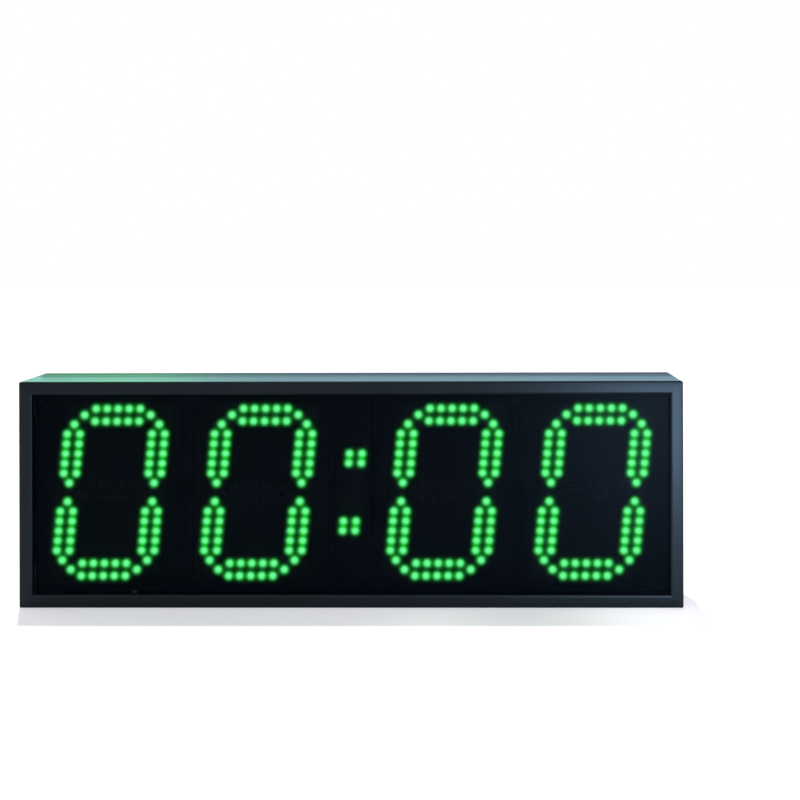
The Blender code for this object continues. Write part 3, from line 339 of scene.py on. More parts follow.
class Graph:
    """A tree of shader nodes, to which nodes are added as values."""

    def __init__(self, tree):
        self.tree = tree

    def feed(self, socket, value):
        """Links a varying value to a socket, or sets a number or colour on it."""
        if isinstance(value, Value):
            self.tree.links.new(value.socket, socket)
        elif hasattr(value, "__len__") and socket.type == "RGBA":
            socket.default_value = (*value, 1)
        else:
            socket.default_value = value

    def node(self, kind, settings=None, inputs=None, output=0):
        """A node of this kind, its settings first and then its sockets, as the value of one output."""
        made = self.tree.nodes.new(kind)
        for key, value in (settings or {}).items():
            setattr(made, key, value)
        for key, value in (inputs or {}).items():
            self.feed(made.inputs[key], value)
        return Value(self, made.outputs[output])

    def place(self):
        return self.node("ShaderNodeTexCoord", output="Object")

    def noise(self, scale, detail, stretch=(1, 1, 1)):
        """Noise on the object's coordinates, this many times a metre, drawn out where stretch is small."""
        scaled = self.node("ShaderNodeMapping", inputs={"Vector": self.place(), "Scale": stretch})
        inputs = {"Vector": scaled, "Scale": scale, "Detail": detail}
        return self.node("ShaderNodeTexNoise", inputs=inputs)

    def mix(self, factor, first, second):
        """From the first colour to the second."""
        inputs = {0: factor, 6: first, 7: second}
        return self.node("ShaderNodeMix", {"data_type": "RGBA"}, inputs, 2)

    def bump(self, height, distance):
        """The normal of a relief this high, in metres."""
        return self.node("ShaderNodeBump", inputs={"Strength": 1.0, "Distance": distance, "Height": height})

    def attribute(self, name):
        return self.node("ShaderNodeAttribute", {"attribute_name": name}, output="Fac")

    def spread(self, value, start, end):
        """From 0 to 1 between start and end, with a smooth step."""
        inputs = {"Value": value, "From Min": start, "From Max": end}
        return self.node("ShaderNodeMapRange", {"interpolation_type": "SMOOTHSTEP"}, inputs)

    def rays(self, *kinds):
        """1 for rays of these kinds, else 0."""
        return sum(self.node("ShaderNodeLightPath", output=f"Is {kind} Ray") for kind in kinds).clamped()

    def seen_directly(self):
        """1 for rays that show the background: from the camera, a reflection or something clear."""
        return self.rays("Camera", "Glossy", "Transmission")


class Finish(Graph):
    """A node material with a Principled BSDF, whose sockets are named with _ for a space."""

    def __init__(self, name, **numbers):
        self.material = bpy.data.materials.new(name)
        self.material.use_nodes = True
        super().__init__(self.material.node_tree)
        self.shader = self.tree.nodes["Principled BSDF"]
        self.vary(**numbers)

    def vary(self, **values):
        """Links varying values to the shader's sockets, or sets numbers on them."""
        for key, value in values.items():
            self.feed(self.shader.inputs[key.replace("_", " ")], value)


def shade(colour, factor):
    return tuple(min(part * factor, 1.0) for part in colour)


def anodised(name, settings, grain, tone=1.0):
    """Black anodised aluminium: fine die lines along the bar over a blasted grain. A tone under 1 darkens the
    colour as painted shade.
    """
    finish = Finish(name, Metallic=1.0, Specular_Tint=settings.edge_colour)
    cloud = finish.noise(9, 3)
    lines = finish.noise(1, 2, grain)
    blast = finish.noise(2600, 1)
    # A tone under 1 is painted shade, darkening the bar's own colour
    colour = finish.mix(cloud, shade(settings.colour, 0.86 * tone), shade(settings.colour, 1.16 * tone))
    relief = lines * 0.5 + blast * 0.5
    finish.vary(
        Base_Color=colour,
        Roughness=settings.roughness - 0.05 + lines * 0.06 + cloud * 0.04,
        Normal=finish.bump(relief, 0.004 * MM),
    )
    return finish.material


def plain_metal(name, colour, roughness, grain=(300, 300, 300)):
    """Bare, zinc or nickel plated metal: cloudy brightness and a fine brushed grain."""
    finish = Finish(name, Metallic=1.0)
    cloud = finish.noise(120, 4)
    lines = finish.noise(1, 3, grain)
    finish.vary(
        Base_Color=finish.mix(cloud, shade(colour, 0.78), shade(colour, 1.12)),
        Roughness=roughness - 0.08 + lines * 0.1 + cloud * 0.08,
        Normal=finish.bump(lines, 0.01 * MM),
    )
    return finish.material


def moulded(name, colour, roughness, grain=2200, depth=0.012 * MM, shine=0.5):
    """Moulded plastic: a fine spark-eroded grain and slightly uneven gloss."""
    finish = Finish(name, Specular_IOR_Level=shine)
    fine = finish.noise(grain, 2)
    cloud = finish.noise(60, 3)
    finish.vary(
        Base_Color=finish.mix(cloud, shade(colour, 0.85), shade(colour, 1.2)),
        Roughness=roughness - 0.05 + cloud * 0.1,
        Normal=finish.bump(fine, depth),
    )
    return finish.material


def black_with_painted_shade(name, fittings, roughness):
    """The black of mouldings behind the window with painted shade: a quarter as light, as they sit in the
    dark, and hardly glossy.
    """
    return moulded(name, shade(fittings.black_colour, 0.25), roughness, shine=0.12)


def powder_coat(name, settings):
    """Black powder coat: an orange-peel relief with fine specks in it."""
    finish = Finish(name, Specular_IOR_Level=0.35)
    peel = finish.noise(650, 2)
    speck = finish.spread(finish.noise(1900, 1), 0.62, 0.75)
    cloud = finish.noise(7, 3)
    colour = finish.mix(cloud, shade(settings.colour, 0.9), shade(settings.colour, 1.12))
    finish.vary(
        Base_Color=finish.mix(speck * 0.35, colour, shade(settings.colour, 2.2)),
        Roughness=settings.roughness + peel * 0.12,
        Normal=finish.bump(peel + speck * 0.3, 0.05 * MM),
    )
    return finish.material


def smoked_acrylic(settings):
    """The window: dark see-through acrylic with a matt front and a few soft smears."""
    finish = Finish(
        "smoked_acrylic",
        Alpha=settings.darkness,
        Specular_IOR_Level=settings.shine,
        Specular_Tint=settings.shine_colour,
    )
    smear = finish.noise(14, 4, (1, 1, 2.5))
    haze = finish.noise(3000, 1)
    finish.vary(
        Base_Color=finish.mix(smear, shade(settings.colour, 0.8), shade(settings.colour, 1.25)),
        Roughness=settings.roughness + smear * 0.08,
        Normal=finish.bump(haze, 0.0012 * MM),
    )
    return finish.material


def lamp_lens(settings):
    """Clear green lens: a lit one shines from its dome, palest at the tip, and one that is off is dark."""
    finish = Finish("lamp_lens", Roughness=0.3, Specular_IOR_Level=0.2, Emission_Strength=settings.strength)
    lit, dome = finish.attribute("lit"), finish.attribute("dome")
    tone = finish.noise(900, 1)
    light = finish.mix(dome, settings.ring, settings.heart)
    body = finish.mix(tone, shade(settings.off, 0.8), shade(settings.off, 1.3))
    finish.vary(Base_Color=body, Emission_Color=finish.mix(lit * dome, (0, 0, 0), light))
    finish.material.cycles.emission_sampling = "NONE"
    return finish.material


RING_FALL = 1.2


def painted_lamp_glow(settings):
    """Painted glow: a clear film, no part of the timer, that shows only the light of the lit lamps, palest at
    each lamp's heart.

    The ring's light is its colour times the glow to the power of the fall.
    """
    finish = Finish(
        "painted_lamp_glow",
        Base_Color=(0, 0, 0),
        Roughness=1.0,
        Specular_IOR_Level=0,
        Emission_Strength=settings.strength,
    )
    glow = finish.attribute("glow")
    ring = finish.mix(glow**RING_FALL, (0, 0, 0), settings.ring)
    finish.vary(Alpha=glow, Emission_Color=finish.mix(finish.attribute("heart"), ring, settings.heart))
    finish.material.cycles.emission_sampling = "NONE"
    return finish.material


def circuit_board():
    """Matt black lacquer over copper tracks that run in steps of 2.5 mm."""
    finish = Finish("circuit_board", Specular_IOR_Level=0.04)
    upright = {"Vector": finish.place(), "Rotation": (math.pi / 2, 0, 0)}
    scaled = finish.node("ShaderNodeMapping", inputs=upright)
    sizes = {"Vector": scaled, "Scale": 400, "Mortar Size": 0.09, "Brick Width": 4.0, "Row Height": 1.0}
    tracks = finish.node("ShaderNodeTexBrick", {"offset": 0.37}, sizes, "Fac")
    patches = finish.spread(finish.noise(45, 1), 0.45, 0.55)
    copper = tracks * patches
    bare, covered = (0.0025, 0.003, 0.0033), (0.0055, 0.006, 0.0065)
    finish.vary(
        Base_Color=finish.mix(copper, bare, covered),
        Roughness=0.5 + finish.noise(400, 2) * 0.15,
        Normal=finish.bump(copper, 0.03 * MM),
    )
    return finish.material


def foam():
    """Closed-cell foam: round pores on matt black."""
    finish = Finish("foam", Roughness=0.95, Specular_IOR_Level=0.1)
    cells = finish.node("ShaderNodeTexVoronoi", inputs={"Vector": finish.place(), "Scale": 1400})
    pore, wall = (0.006, 0.006, 0.006), (0.03, 0.03, 0.03)
    finish.vary(
        Base_Color=finish.mix(cells, pore, wall),
        Normal=finish.bump(cells, 0.15 * MM),
    )
    return finish.material


RIBBON_PITCH = 1.27 * MM
# At scale 1 a wave texture repeats every tenth of pi
WAVE_LENGTH = math.pi / 10


def ribbon_cable():
    """Black flat cable: ribs across its width, darker between them."""
    finish = Finish("ribbon_cable", Roughness=0.5, Specular_IOR_Level=0.15)
    settings = {"wave_type": "BANDS", "bands_direction": "Z"}
    inputs = {"Vector": finish.place(), "Scale": WAVE_LENGTH / RIBBON_PITCH}
    ribs = finish.node("ShaderNodeTexWave", settings, inputs, "Fac")
    between, rib = (0.003, 0.003, 0.003), (0.009, 0.009, 0.01)
    finish.vary(
        Base_Color=finish.mix(ribs, between, rib),
        Normal=finish.bump(ribs, 0.3 * MM),
    )
    return finish.material


class CaseSettings(bpy.types.PropertyGroup):
    """Sizes and finish of the bars"""

    edge_radius: FloatProperty(
        name="Edge radius",
        description="Rounding of the outer front edges",
        default=1.5 * MM,
        unit="LENGTH",
    )
    lip_width: FloatProperty(
        name="Lip width",
        description="Width of the rim round the window",
        default=11.4 * MM,
        unit="LENGTH",
    )
    mitre_gap: FloatProperty(
        name="Mitre gap",
        description="Gap between two bars at a corner",
        default=0.03 * MM,
        unit="LENGTH",
    )
    colour: FloatVectorProperty(
        name="Colour",
        description="Colour of the anodised bars",
        subtype="COLOR",
        default=(0.0145, 0.0192, 0.0238),
    )
    edge_colour: FloatVectorProperty(
        name="Grazing colour",
        description="Colour of the bars where they are seen along their surface",
        subtype="COLOR",
        default=(0.8, 0.95, 1.0),
    )
    roughness: FloatProperty(
        name="Roughness",
        description="Roughness of the anodised bars",
        default=0.36,
        subtype="FACTOR",
    )


class WindowSettings(bpy.types.PropertyGroup):
    """Finish of the window"""

    colour: FloatVectorProperty(
        name="Colour",
        description="Tint of the acrylic",
        subtype="COLOR",
        default=(0.0005, 0.0013, 0.0036),
    )
    darkness: FloatProperty(
        name="Darkness",
        description="Light that each face holds back",
        default=0.4,
        subtype="FACTOR",
    )
    shine: FloatProperty(
        name="Shine", description="Strength of the matt reflection", default=0.082, subtype="FACTOR"
    )
    shine_colour: FloatVectorProperty(
        name="Shine colour",
        description="Tint of the matt reflection",
        subtype="COLOR",
        default=(0.5, 0.72, 1.0),
    )
    roughness: FloatProperty(
        name="Roughness", description="How matt the front is", default=0.36, subtype="FACTOR"
    )


class LampSettings(bpy.types.PropertyGroup):
    """What the display reads, and how its lamps shine"""

    reading: StringProperty(
        name="Reading", description="Minutes and seconds on the display", default="00:00", maxlen=5
    )
    radius: FloatProperty(
        name="Lamp radius", description="Radius of a lamp's lens", default=2.5 * MM, unit="LENGTH"
    )
    heart: FloatVectorProperty(
        name="Heart",
        description="Light at the middle of a lit lamp",
        subtype="COLOR",
        default=(0.195, 1.0, 0.4),
    )
    ring: FloatVectorProperty(
        name="Ring",
        description="Light round the middle of a lit lamp",
        subtype="COLOR",
        default=(0.0, 1.0, 0.01),
    )
    off: FloatVectorProperty(
        name="Off",
        description="Colour of a lamp that isn't lit",
        subtype="COLOR",
        default=(0.003, 0.005, 0.0035),
    )
    strength: FloatProperty(
        name="Strength",
        description="Brightness of the lit lamps behind the window",
        default=2.8,
        min=0,
    )
    glow_reach: FloatProperty(
        name="Glow reach",
        description="Distance over which the light falls away",
        default=3.55 * MM,
        unit="LENGTH",
    )


class CoverSettings(bpy.types.PropertyGroup):
    """Finish of the rear cover, and its vents"""

    colour: FloatVectorProperty(
        name="Colour",
        description="Colour of the powder coat",
        subtype="COLOR",
        default=(0.022, 0.0235, 0.026),
    )
    roughness: FloatProperty(
        name="Roughness", description="Roughness of the powder coat", default=0.5, subtype="FACTOR"
    )
    vent_height: FloatProperty(
        name="Vent height", description="Height of a vent slot", default=26 * MM, unit="LENGTH"
    )
    vent_count: IntProperty(
        name="Vents", description="Slots in each group of vents", default=6, min=1, max=12
    )


class FittingSettings(bpy.types.PropertyGroup):
    """Colours of the small parts"""

    button_colour: FloatVectorProperty(
        name="Buttons",
        description="Colour of the push-buttons and rocker",
        subtype="COLOR",
        default=(0.08, 0.082, 0.088),
    )
    black_colour: FloatVectorProperty(
        name="Black parts",
        description="Colour of the black mouldings",
        subtype="COLOR",
        default=(0.018, 0.018, 0.02),
    )
    zinc_colour: FloatVectorProperty(
        name="Zinc",
        description="Colour of screws and hanging plates",
        subtype="COLOR",
        default=(0.47, 0.475, 0.48),
    )
    mark_colour: FloatVectorProperty(
        name="Marks",
        description="Colour of the on and off marks",
        subtype="COLOR",
        default=(0.75, 0.75, 0.74),
    )


class StageSettings(bpy.types.PropertyGroup):
    """Floor and light of the studio"""

    floor_colour: FloatVectorProperty(
        name="Floor", description="Colour of the floor", subtype="COLOR", default=(0.88, 0.895, 0.9)
    )
    surround: FloatProperty(name="Surround", description="Even light from all sides", default=0.6, min=0)
    sun: FloatProperty(name="Overhead lamp", description="Strength of the lamp overhead", default=1.3, min=0)
    glint: FloatProperty(
        name="Low panel",
        description="Power of the low panel at the front right",
        default=2.85,
        min=0,
        unit="POWER",
    )
    tint: FloatProperty(
        name="Green lamp",
        description="Power of the green lamp behind the left end",
        default=3.2,
        min=0,
        unit="POWER",
    )
    floor_fill: FloatProperty(
        name="Floor lamps",
        description="Power of the lamp over the floor by the right end; the middle one has a share of it",
        default=0.036,
        min=0,
        unit="POWER",
    )


# Bars of the case: their section, left round, and their corners
CASE_PROFILE_STEPS = 8
WALL = 2 * MM
LIP_THICKNESS = 2 * MM
LIP_CHAMFER = (2.6 * MM, 1.2 * MM)
GROOVE_PLACE = 35 * MM
GROOVE_WIDTH = 1.4 * MM
GROOVE_CUT = 0.6 * MM
RIB_HEIGHT = 9 * MM
RIB_THICKNESS = 1.5 * MM
HOOK_LENGTH = 2.3 * MM
FLANGE_HEIGHT = 15 * MM
FLANGE_THICKNESS = 3 * MM
REAR_BEVEL = 0.6 * MM
CORNER_RADIUS = 2 * MM
CORNER_STEPS = 4
BAR_BEVEL = 0.05 * MM
# The level bars' colour is a little darker than the upright ones': painted shade. Die lines run along each
LEVEL_PAINTED_SHADE = 0.9
LEVEL_LINES = (9, 5200, 5200)
UPRIGHT_LINES = (5200, 5200, 9)


def case_profile(settings):
    """The bars' section, left round, as (distance in from the outer face, depth)."""
    front_rib = high("window_strip_lower")[1] - FRONT + CLEARANCE
    keys = front_rib + RIB_THICKNESS
    rear_rib = low("rail_lower")[1] - FRONT - CLEARANCE - RIB_THICKNESS
    hook = RIB_HEIGHT - RIB_THICKNESS
    flange = COVER_BACK - CLEARANCE - FLANGE_THICKNESS
    radius = settings.edge_radius
    lip = settings.lip_width
    return np.vstack(
        [
            rounding(radius, CASE_PROFILE_STEPS, 180, (radius, radius)),
            rounding(1, CASE_PROFILE_STEPS, 270) * LIP_CHAMFER + (lip - LIP_CHAMFER[0], LIP_CHAMFER[1]),
            [
                (lip, LIP_THICKNESS),
                (WALL, LIP_THICKNESS),
                (WALL, front_rib),
                (RIB_HEIGHT, front_rib),
                (RIB_HEIGHT, keys + HOOK_LENGTH),
                (hook, keys + HOOK_LENGTH),
                (hook, keys),
                (WALL, keys),
                (WALL, rear_rib),
                (hook, rear_rib),
                (hook, rear_rib - HOOK_LENGTH),
                (RIB_HEIGHT, rear_rib - HOOK_LENGTH),
                (RIB_HEIGHT, rear_rib + RIB_THICKNESS),
                (WALL, rear_rib + RIB_THICKNESS),
                (WALL, flange),
                (FLANGE_HEIGHT, flange),
                (FLANGE_HEIGHT, flange + FLANGE_THICKNESS),
                (WALL, flange + FLANGE_THICKNESS),
                (WALL, CASE_DEPTH),
                (REAR_BEVEL, CASE_DEPTH),
                (0, CASE_DEPTH - REAR_BEVEL),
                (0, GROOVE_PLACE + GROOVE_WIDTH / 2),
                (GROOVE_CUT, GROOVE_PLACE),
                (0, GROOVE_PLACE - GROOVE_WIDTH / 2),
            ],
        ]
    )


def mitred_bar(profile, length, gap, inward, start):
    """The section carried along a bar: each point stops short of the corner by its distance in.

    Near the end the outer points draw in on a circle: radius times one minus the cosine of the turn in, at
    radius times one minus its sine from the corner, up to where the circle meets the mitre.
    """
    inward = np.array(inward, float)
    rearward = np.array([0, 1, 0], float)
    along = np.cross(inward, rearward)
    turn = np.linspace(0, np.pi / 4, CORNER_STEPS)
    drawn_in = CORNER_RADIUS * (1 - np.cos(turn))
    from_corner = CORNER_RADIUS * (1 - np.sin(turn))
    inset = np.maximum(profile[None, :, 0], drawn_in[:, None])
    reach = length / 2 - gap / math.sqrt(2) - np.maximum(inset, from_corner[:, None])
    end = np.stack([inset, np.broadcast_to(profile[:, 1], inset.shape), reach], -1)
    rings = np.concatenate([end[::-1] * (1, 1, -1), end])
    return skin(rings).welded().turned(np.column_stack([inward, rearward, along])).at(start)


def make_case(settings):
    """The four bars: one section, carried inwards round the case, with die lines along each bar and painted
    shade on the level ones.
    """
    profile = case_profile(settings)
    level = anodised("anodised_level_painted_shade", settings, LEVEL_LINES, LEVEL_PAINTED_SHADE)
    upright = anodised("anodised_upright", settings, UPRIGHT_LINES)
    half = CASE_HEIGHT / 2
    bars = {
        "bottom": ((0, 0, 1), CASE_WIDTH, (0, FRONT, 0), level),
        "top": ((0, 0, -1), CASE_WIDTH, (0, FRONT, CASE_HEIGHT), level),
        "left": ((1, 0, 0), CASE_HEIGHT, (-CASE_WIDTH / 2, FRONT, half), upright),
        "right": ((-1, 0, 0), CASE_HEIGHT, (CASE_WIDTH / 2, FRONT, half), upright),
    }
    for side, (inward, length, start, material) in bars.items():
        bar = mitred_bar(profile, length, settings.mitre_gap, inward, start)
        piece(f"bar_{side}", bar, material, replaces=[f"frame_{side}"], bevel=BAR_BEVEL)


# Lamps: two rows to a segment and one more lamp at each tip
DIGITS = ("digit_1_lamps", "digit_2_lamps", "digit_3_lamps", "digit_4_lamps")
DIGIT_SLANT = 0.0929
SEGMENT_LAMPS = 5
ROW_GAP = 11.05 * MM
ROW_END_GAP = 8.3 * MM
COLUMN_GAP = 11.2 * MM
COLUMN_END_GAP = 8.175 * MM
COLON_DOT = (11.05 * MM, 8.2 * MM)
COLON_SPACING = 59.3 * MM
HOLDER_MARGIN = 4 * MM
HOLDER_THICKNESS = 1.2 * MM
HOLDER_EDGE = 0.2 * MM
LENS_TIP = 0.2
# The glow film is painted light: an emissive sheet that stands for the halo of the lit lamps
GLOW_FILM = 0.1 * MM
GLOW_AHEAD = 0.3 * MM
GLOW_GRID = 0.9 * MM
GLOW_MARGIN = 3.5 * MM
GLOW_PEAK = 1.5
GLOW_STEEPNESS = 1.78
GLOW_KNEE = 6
HEART_REACH = 3.1 * MM
HEART_ROOM = 6 * MM
HEART_NEAREST = 0.01 * MM

# A digit's segments: top, upper right, lower right, bottom, lower left, upper left, middle
LIT_SEGMENTS = {
    "0": (0, 1, 2, 3, 4, 5),
    "1": (1, 2),
    "2": (0, 1, 3, 4, 6),
    "3": (0, 1, 2, 3, 6),
    "4": (1, 2, 5, 6),
    "5": (0, 2, 3, 5, 6),
    "6": (0, 2, 3, 4, 5, 6),
    "7": (0, 1, 2),
    "8": (0, 1, 2, 3, 4, 5, 6),
    "9": (0, 1, 2, 3, 5, 6),
}


def digit_reach():
    """Half the width and height of a digit's holder, before it is slanted."""
    half_width, _, half_height = size(DIGITS[0]) / 2
    return np.array([half_width - DIGIT_SLANT * half_height, half_height])


def segment_spacing():
    """Between the middles of the two upright strokes, and between level segments."""
    reach = digit_reach() - HOLDER_MARGIN
    return 2 * reach[0] - COLUMN_GAP, reach[1] - ROW_GAP / 2


def segment(pitch, gap):
    """Lamp places of a level segment: two rows at even steps, and a lamp one step past each end."""
    steps = (np.arange(SEGMENT_LAMPS) - (SEGMENT_LAMPS - 1) / 2) * pitch
    tip = (SEGMENT_LAMPS + 1) / 2 * pitch
    rows = [np.column_stack([steps, np.full(SEGMENT_LAMPS, side * gap / 2)]) for side in (-1, 1)]
    return np.vstack([*rows, [(-tip, 0), (tip, 0)]])


def digit_places(character):
    """All lamp places of an upright digit, and for each lamp whether it is lit."""
    across, up = segment_spacing()
    level = segment((across - 2 * ROW_END_GAP) / (SEGMENT_LAMPS + 1), ROW_GAP)
    upright = segment((up - 2 * COLUMN_END_GAP) / (SEGMENT_LAMPS + 1), COLUMN_GAP)[:, ::-1]
    right, left = across / 2, -across / 2
    segments = [
        level + (0, up),
        upright + (right, up / 2),
        upright + (right, -up / 2),
        level + (0, -up),
        upright + (left, -up / 2),
        upright + (left, up / 2),
        level,
    ]
    lit = [np.full(len(level), number in LIT_SEGMENTS[character]) for number in range(len(segments))]
    return np.vstack(segments), np.concatenate(lit)


def colon_places():
    """Two groups of four lamps, all lit."""
    signs = np.array([(i, j) for i in (-1, 1) for j in (-1, 1)]) / 2
    groups = [signs * COLON_DOT + (0, side * COLON_SPACING / 2) for side in (-1, 1)]
    return np.vstack(groups), np.full(2 * len(signs), True)


def slanted(points):
    """Leaning to the right: x grows by the slant times the height."""
    points = np.asarray(points, float)
    return points + np.column_stack([DIGIT_SLANT * points[:, 1], np.zeros(len(points))])


def rectangle(half_x, half_y, centre=(0, 0)):
    """Four corners, left round, at the half sizes from the centre."""
    signs = np.array([(-1, -1), (1, -1), (1, 1), (-1, 1)])
    return signs * (half_x, half_y) + centre


def lens(radius, height):
    """A lamp from its foot to its round tip; a few dozen faces, because there are hundreds."""
    dome = rounding(radius, 3, 0, (0, height - radius))[:-1]
    tip = (radius * LENS_TIP, height - radius * LENS_TIP / 10)
    return turned_rings([(radius, 0), *dome, tip], LENS_STEPS)


def add_attribute(made, name, values):
    """Keeps one number for each point of a piece, which its material reads by name."""
    made.data.attributes.new(name, "FLOAT", "POINT").data.foreach_set("value", values.astype(np.float32))


def make_lenses(name, node, places, lit, settings, material):
    """Every lamp of a digit: the lens repeated, with whether it is lit and how near its tip a point lies."""
    face = high(node)[1] - HOLDER_THICKNESS
    one = skin(lens(settings.radius, face - low(node)[1]))
    spots = np.column_stack([slanted(places), np.zeros(len(places))])
    made = piece(name, put(one.repeated(spots), node, face), material, replaces=[node])
    height = one.points[:, 2]
    dome = np.clip((height - height.max() + settings.radius) / settings.radius, 0, 1)
    add_attribute(made, "dome", np.tile(dome, len(places)))
    add_attribute(made, "lit", np.repeat(lit, len(one.points)))


def make_holder(name, node, outlines, material):
    """The plate that holds the lamps, its outlines slanted as they are."""
    surface = plate([slanted(outline) for outline in outlines], HOLDER_THICKNESS, HOLDER_EDGE)
    piece(name, put(surface, node, high(node)[1] - HOLDER_THICKNESS / 2), material)


def make_glow(name, node, places, lit, reach, settings, material):
    """A film just in front of the lamps, whose painted glow at a point adds up what each lit lamp sends
    there.

    A lamp sends its peak times e to the minus (distance over reach) to the steepness. The sum s is held
    under 1 as s over the sixth root of 1 + s to the sixth. The heart is e to the minus (distance over its
    own reach) squared, held back near each other lamp by 1 minus e to the minus (distance over the room)
    to the fourth.
    """
    reach = np.asarray(reach) + GLOW_MARGIN
    counts = np.ceil(2 * reach / GLOW_GRID).astype(int) + 1
    across, up = (np.linspace(-half, half, count) for half, count in zip(reach, counts))
    flat = np.stack(np.meshgrid(across, up), -1).reshape(-1, 2)
    points = slanted(flat)
    lamps = slanted(places[lit])
    gap = np.linalg.norm(points[:, None] - lamps[None], axis=2)
    total = GLOW_PEAK * np.exp(-((gap / settings.glow_reach) ** GLOW_STEEPNESS)).sum(1)
    glow = total / (1 + total**GLOW_KNEE) ** (1 / GLOW_KNEE)
    room = np.maximum(gap, HEART_NEAREST) / HEART_ROOM
    held_back = np.log(1 - np.exp(-(room**4)))
    others = held_back.sum(1, keepdims=True) - held_back
    heart = np.minimum(np.exp(others - (gap / HEART_REACH) ** 2).sum(1), 1)
    front = np.column_stack([points, np.full(len(points), GLOW_FILM)])
    number = np.arange(len(points)).reshape(len(up), len(across))
    quads = np.stack([number[:-1, :-1], number[:-1, 1:], number[1:, 1:], number[1:, :-1]], -1)
    edge = np.concatenate([number[0, :-1], number[:-1, -1], number[-1, :0:-1], number[:0:-1, 0]])
    back = len(points) + np.arange(len(edge))
    sides = np.stack([edge, back, np.roll(back, -1), np.roll(edge, -1)], -1)
    film = Surface(
        np.vstack([front, front[edge] - (0, 0, GLOW_FILM)]),
        np.concatenate([quads.ravel(), sides.ravel(), back[::-1]]),
        np.concatenate([np.full(quads.size // 4 + len(edge), 4), [len(edge)]]),
    )
    made = piece(name, put(film, node, low(node)[1] - GLOW_AHEAD), material)
    none = np.zeros(len(edge))
    add_attribute(made, "glow", np.concatenate([glow, none]))
    add_attribute(made, "heart", np.concatenate([heart, none]))


def digit_holder():
    """The holder's outline and its two windows."""
    across, up = segment_spacing()
    reach = digit_reach()
    open_x = across / 2 - COLUMN_GAP / 2 - HOLDER_MARGIN
    open_y = up / 2 - ROW_GAP / 2 - HOLDER_MARGIN
    windows = [rectangle(open_x, open_y, (0, side * up / 2)) for side in (-1, 1)]
    return [rectangle(*reach), *windows]


def make_lamps(settings, fittings):
    """Each digit's lenses, holder and painted glow film, then the colon's."""
    lenses, glow = lamp_lens(settings), painted_lamp_glow(settings)
    holder = black_with_painted_shade("lamp_holder_painted_shade", fittings, 0.7)
    characters = settings.reading.replace(":", "")
    for number, (node, character) in enumerate(zip(DIGITS, characters), 1):
        places, lit = digit_places(character)
        make_lenses(f"digit_{number}_lenses", node, places, lit, settings, lenses)
        make_holder(f"digit_{number}_holder", node, digit_holder(), holder)
        make_glow(f"digit_{number}_glow", node, places, lit, digit_reach(), settings, glow)
    places, lit = colon_places()
    reach = np.abs(places).max(0) + HOLDER_MARGIN
    make_lenses("colon_lenses", "colon_lamps", places, lit, settings, lenses)
    make_holder("colon_holder", "colon_lamps", [rectangle(*reach)], holder)
    make_glow("colon_glow", "colon_lamps", places, lit, reach, settings, glow)


def refinish(node, material):
    """Gives a piece of the frame, whose shape stays as it is, this finish only."""
    node.data.materials.clear()
    node.data.materials.append(material)


def make_window(settings):
    """The window's finish, because its shape stays as it is."""
    refinish(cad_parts["front_window"], smoked_acrylic(settings))


# Receiver of the remote control
RECEIVER_EDGE = 0.5 * MM
RECEIVER_CORNER = 0.8 * MM
RECEIVER_LENS_RADIUS = 2.3 * MM
RECEIVER_LENS_TIP = 0.05 * MM
RECEIVER_LENS_PLACE = (0, -0.15 * MM)
RECEIVER_LENS_COLOUR = (0.11, 0.115, 0.115)


def make_receiver(fittings):
    """A black block with rounded edges, and the pale dome on its front that lets the signal in.

    The dome is a quarter circle turned round, lowered until it rises by two of the block's edges.
    """
    node = "remote_receiver"
    width, depth, height = size(node)
    edge = RECEIVER_EDGE
    stations = [(0, 0), *[(edge - x, depth - 2 * edge + y) for x, y in rounding(edge, 3, 0)]]
    block = skin(rounded_rings(width, height, RECEIVER_CORNER, stations))
    dome = rounding(RECEIVER_LENS_RADIUS, 6, 0)[:-1] * (1, 2 * edge / RECEIVER_LENS_RADIUS)
    profile = [(RECEIVER_LENS_RADIUS, -edge), *dome, (RECEIVER_LENS_TIP, 2 * edge)]
    bulge = skin(turned_rings(profile, POST_STEPS)).at((*RECEIVER_LENS_PLACE, depth - 2 * edge))
    black = black_with_painted_shade("receiver_body_painted_shade", fittings, 0.6)
    pale = moulded("receiver_lens", RECEIVER_LENS_COLOUR, 0.5)
    rear = high(node)[1]
    piece("receiver_block", put(block, node, rear), black, replaces=[node])
    piece("receiver_dome", put(bulge, node, rear), pale)


# Rear cover, its openings and its standoffs
COVER_EDGE = 0.35 * MM
COVER_CORNER = 1 * MM
BUTTON_RADIUS = 3.7 * MM
SOCKET_RADIUS = 5.4 * MM
SCREW_HOLE = 1.8 * MM
HANGER_HOLE = 2.3 * MM
SOUND_HOLE_RADIUS = 1.1 * MM
SOUND_HOLE_RING = 4.5 * MM
SOUND_HOLE_COUNT = 6
VENT_WIDTH = 3.2 * MM
VENT_PITCH = 8 * MM
VENT_FROM_SIDE = 75.5 * MM
VENT_FROM_BOTTOM = 48 * MM
STANDOFF_RADIUS = 3 * MM
STANDOFF_INSET = 6 * MM
SWITCH_LIP = 1.2 * MM
COVER_SCREWS = [
    f"cover_screw_{row}_{column}" for row in ("lower", "upper") for column in ("left", "middle", "right")
]
HANGER_SCREWS = ["hanger_screw_left", "hanger_screw_right"]
BUTTONS = ["button_1", "button_2", "button_3", "button_4"]


def slot(width, height, centre=(0, 0)):
    """A slot with round ends, left round."""
    return rounded_outline(width, height, width / 2, 7) + centre


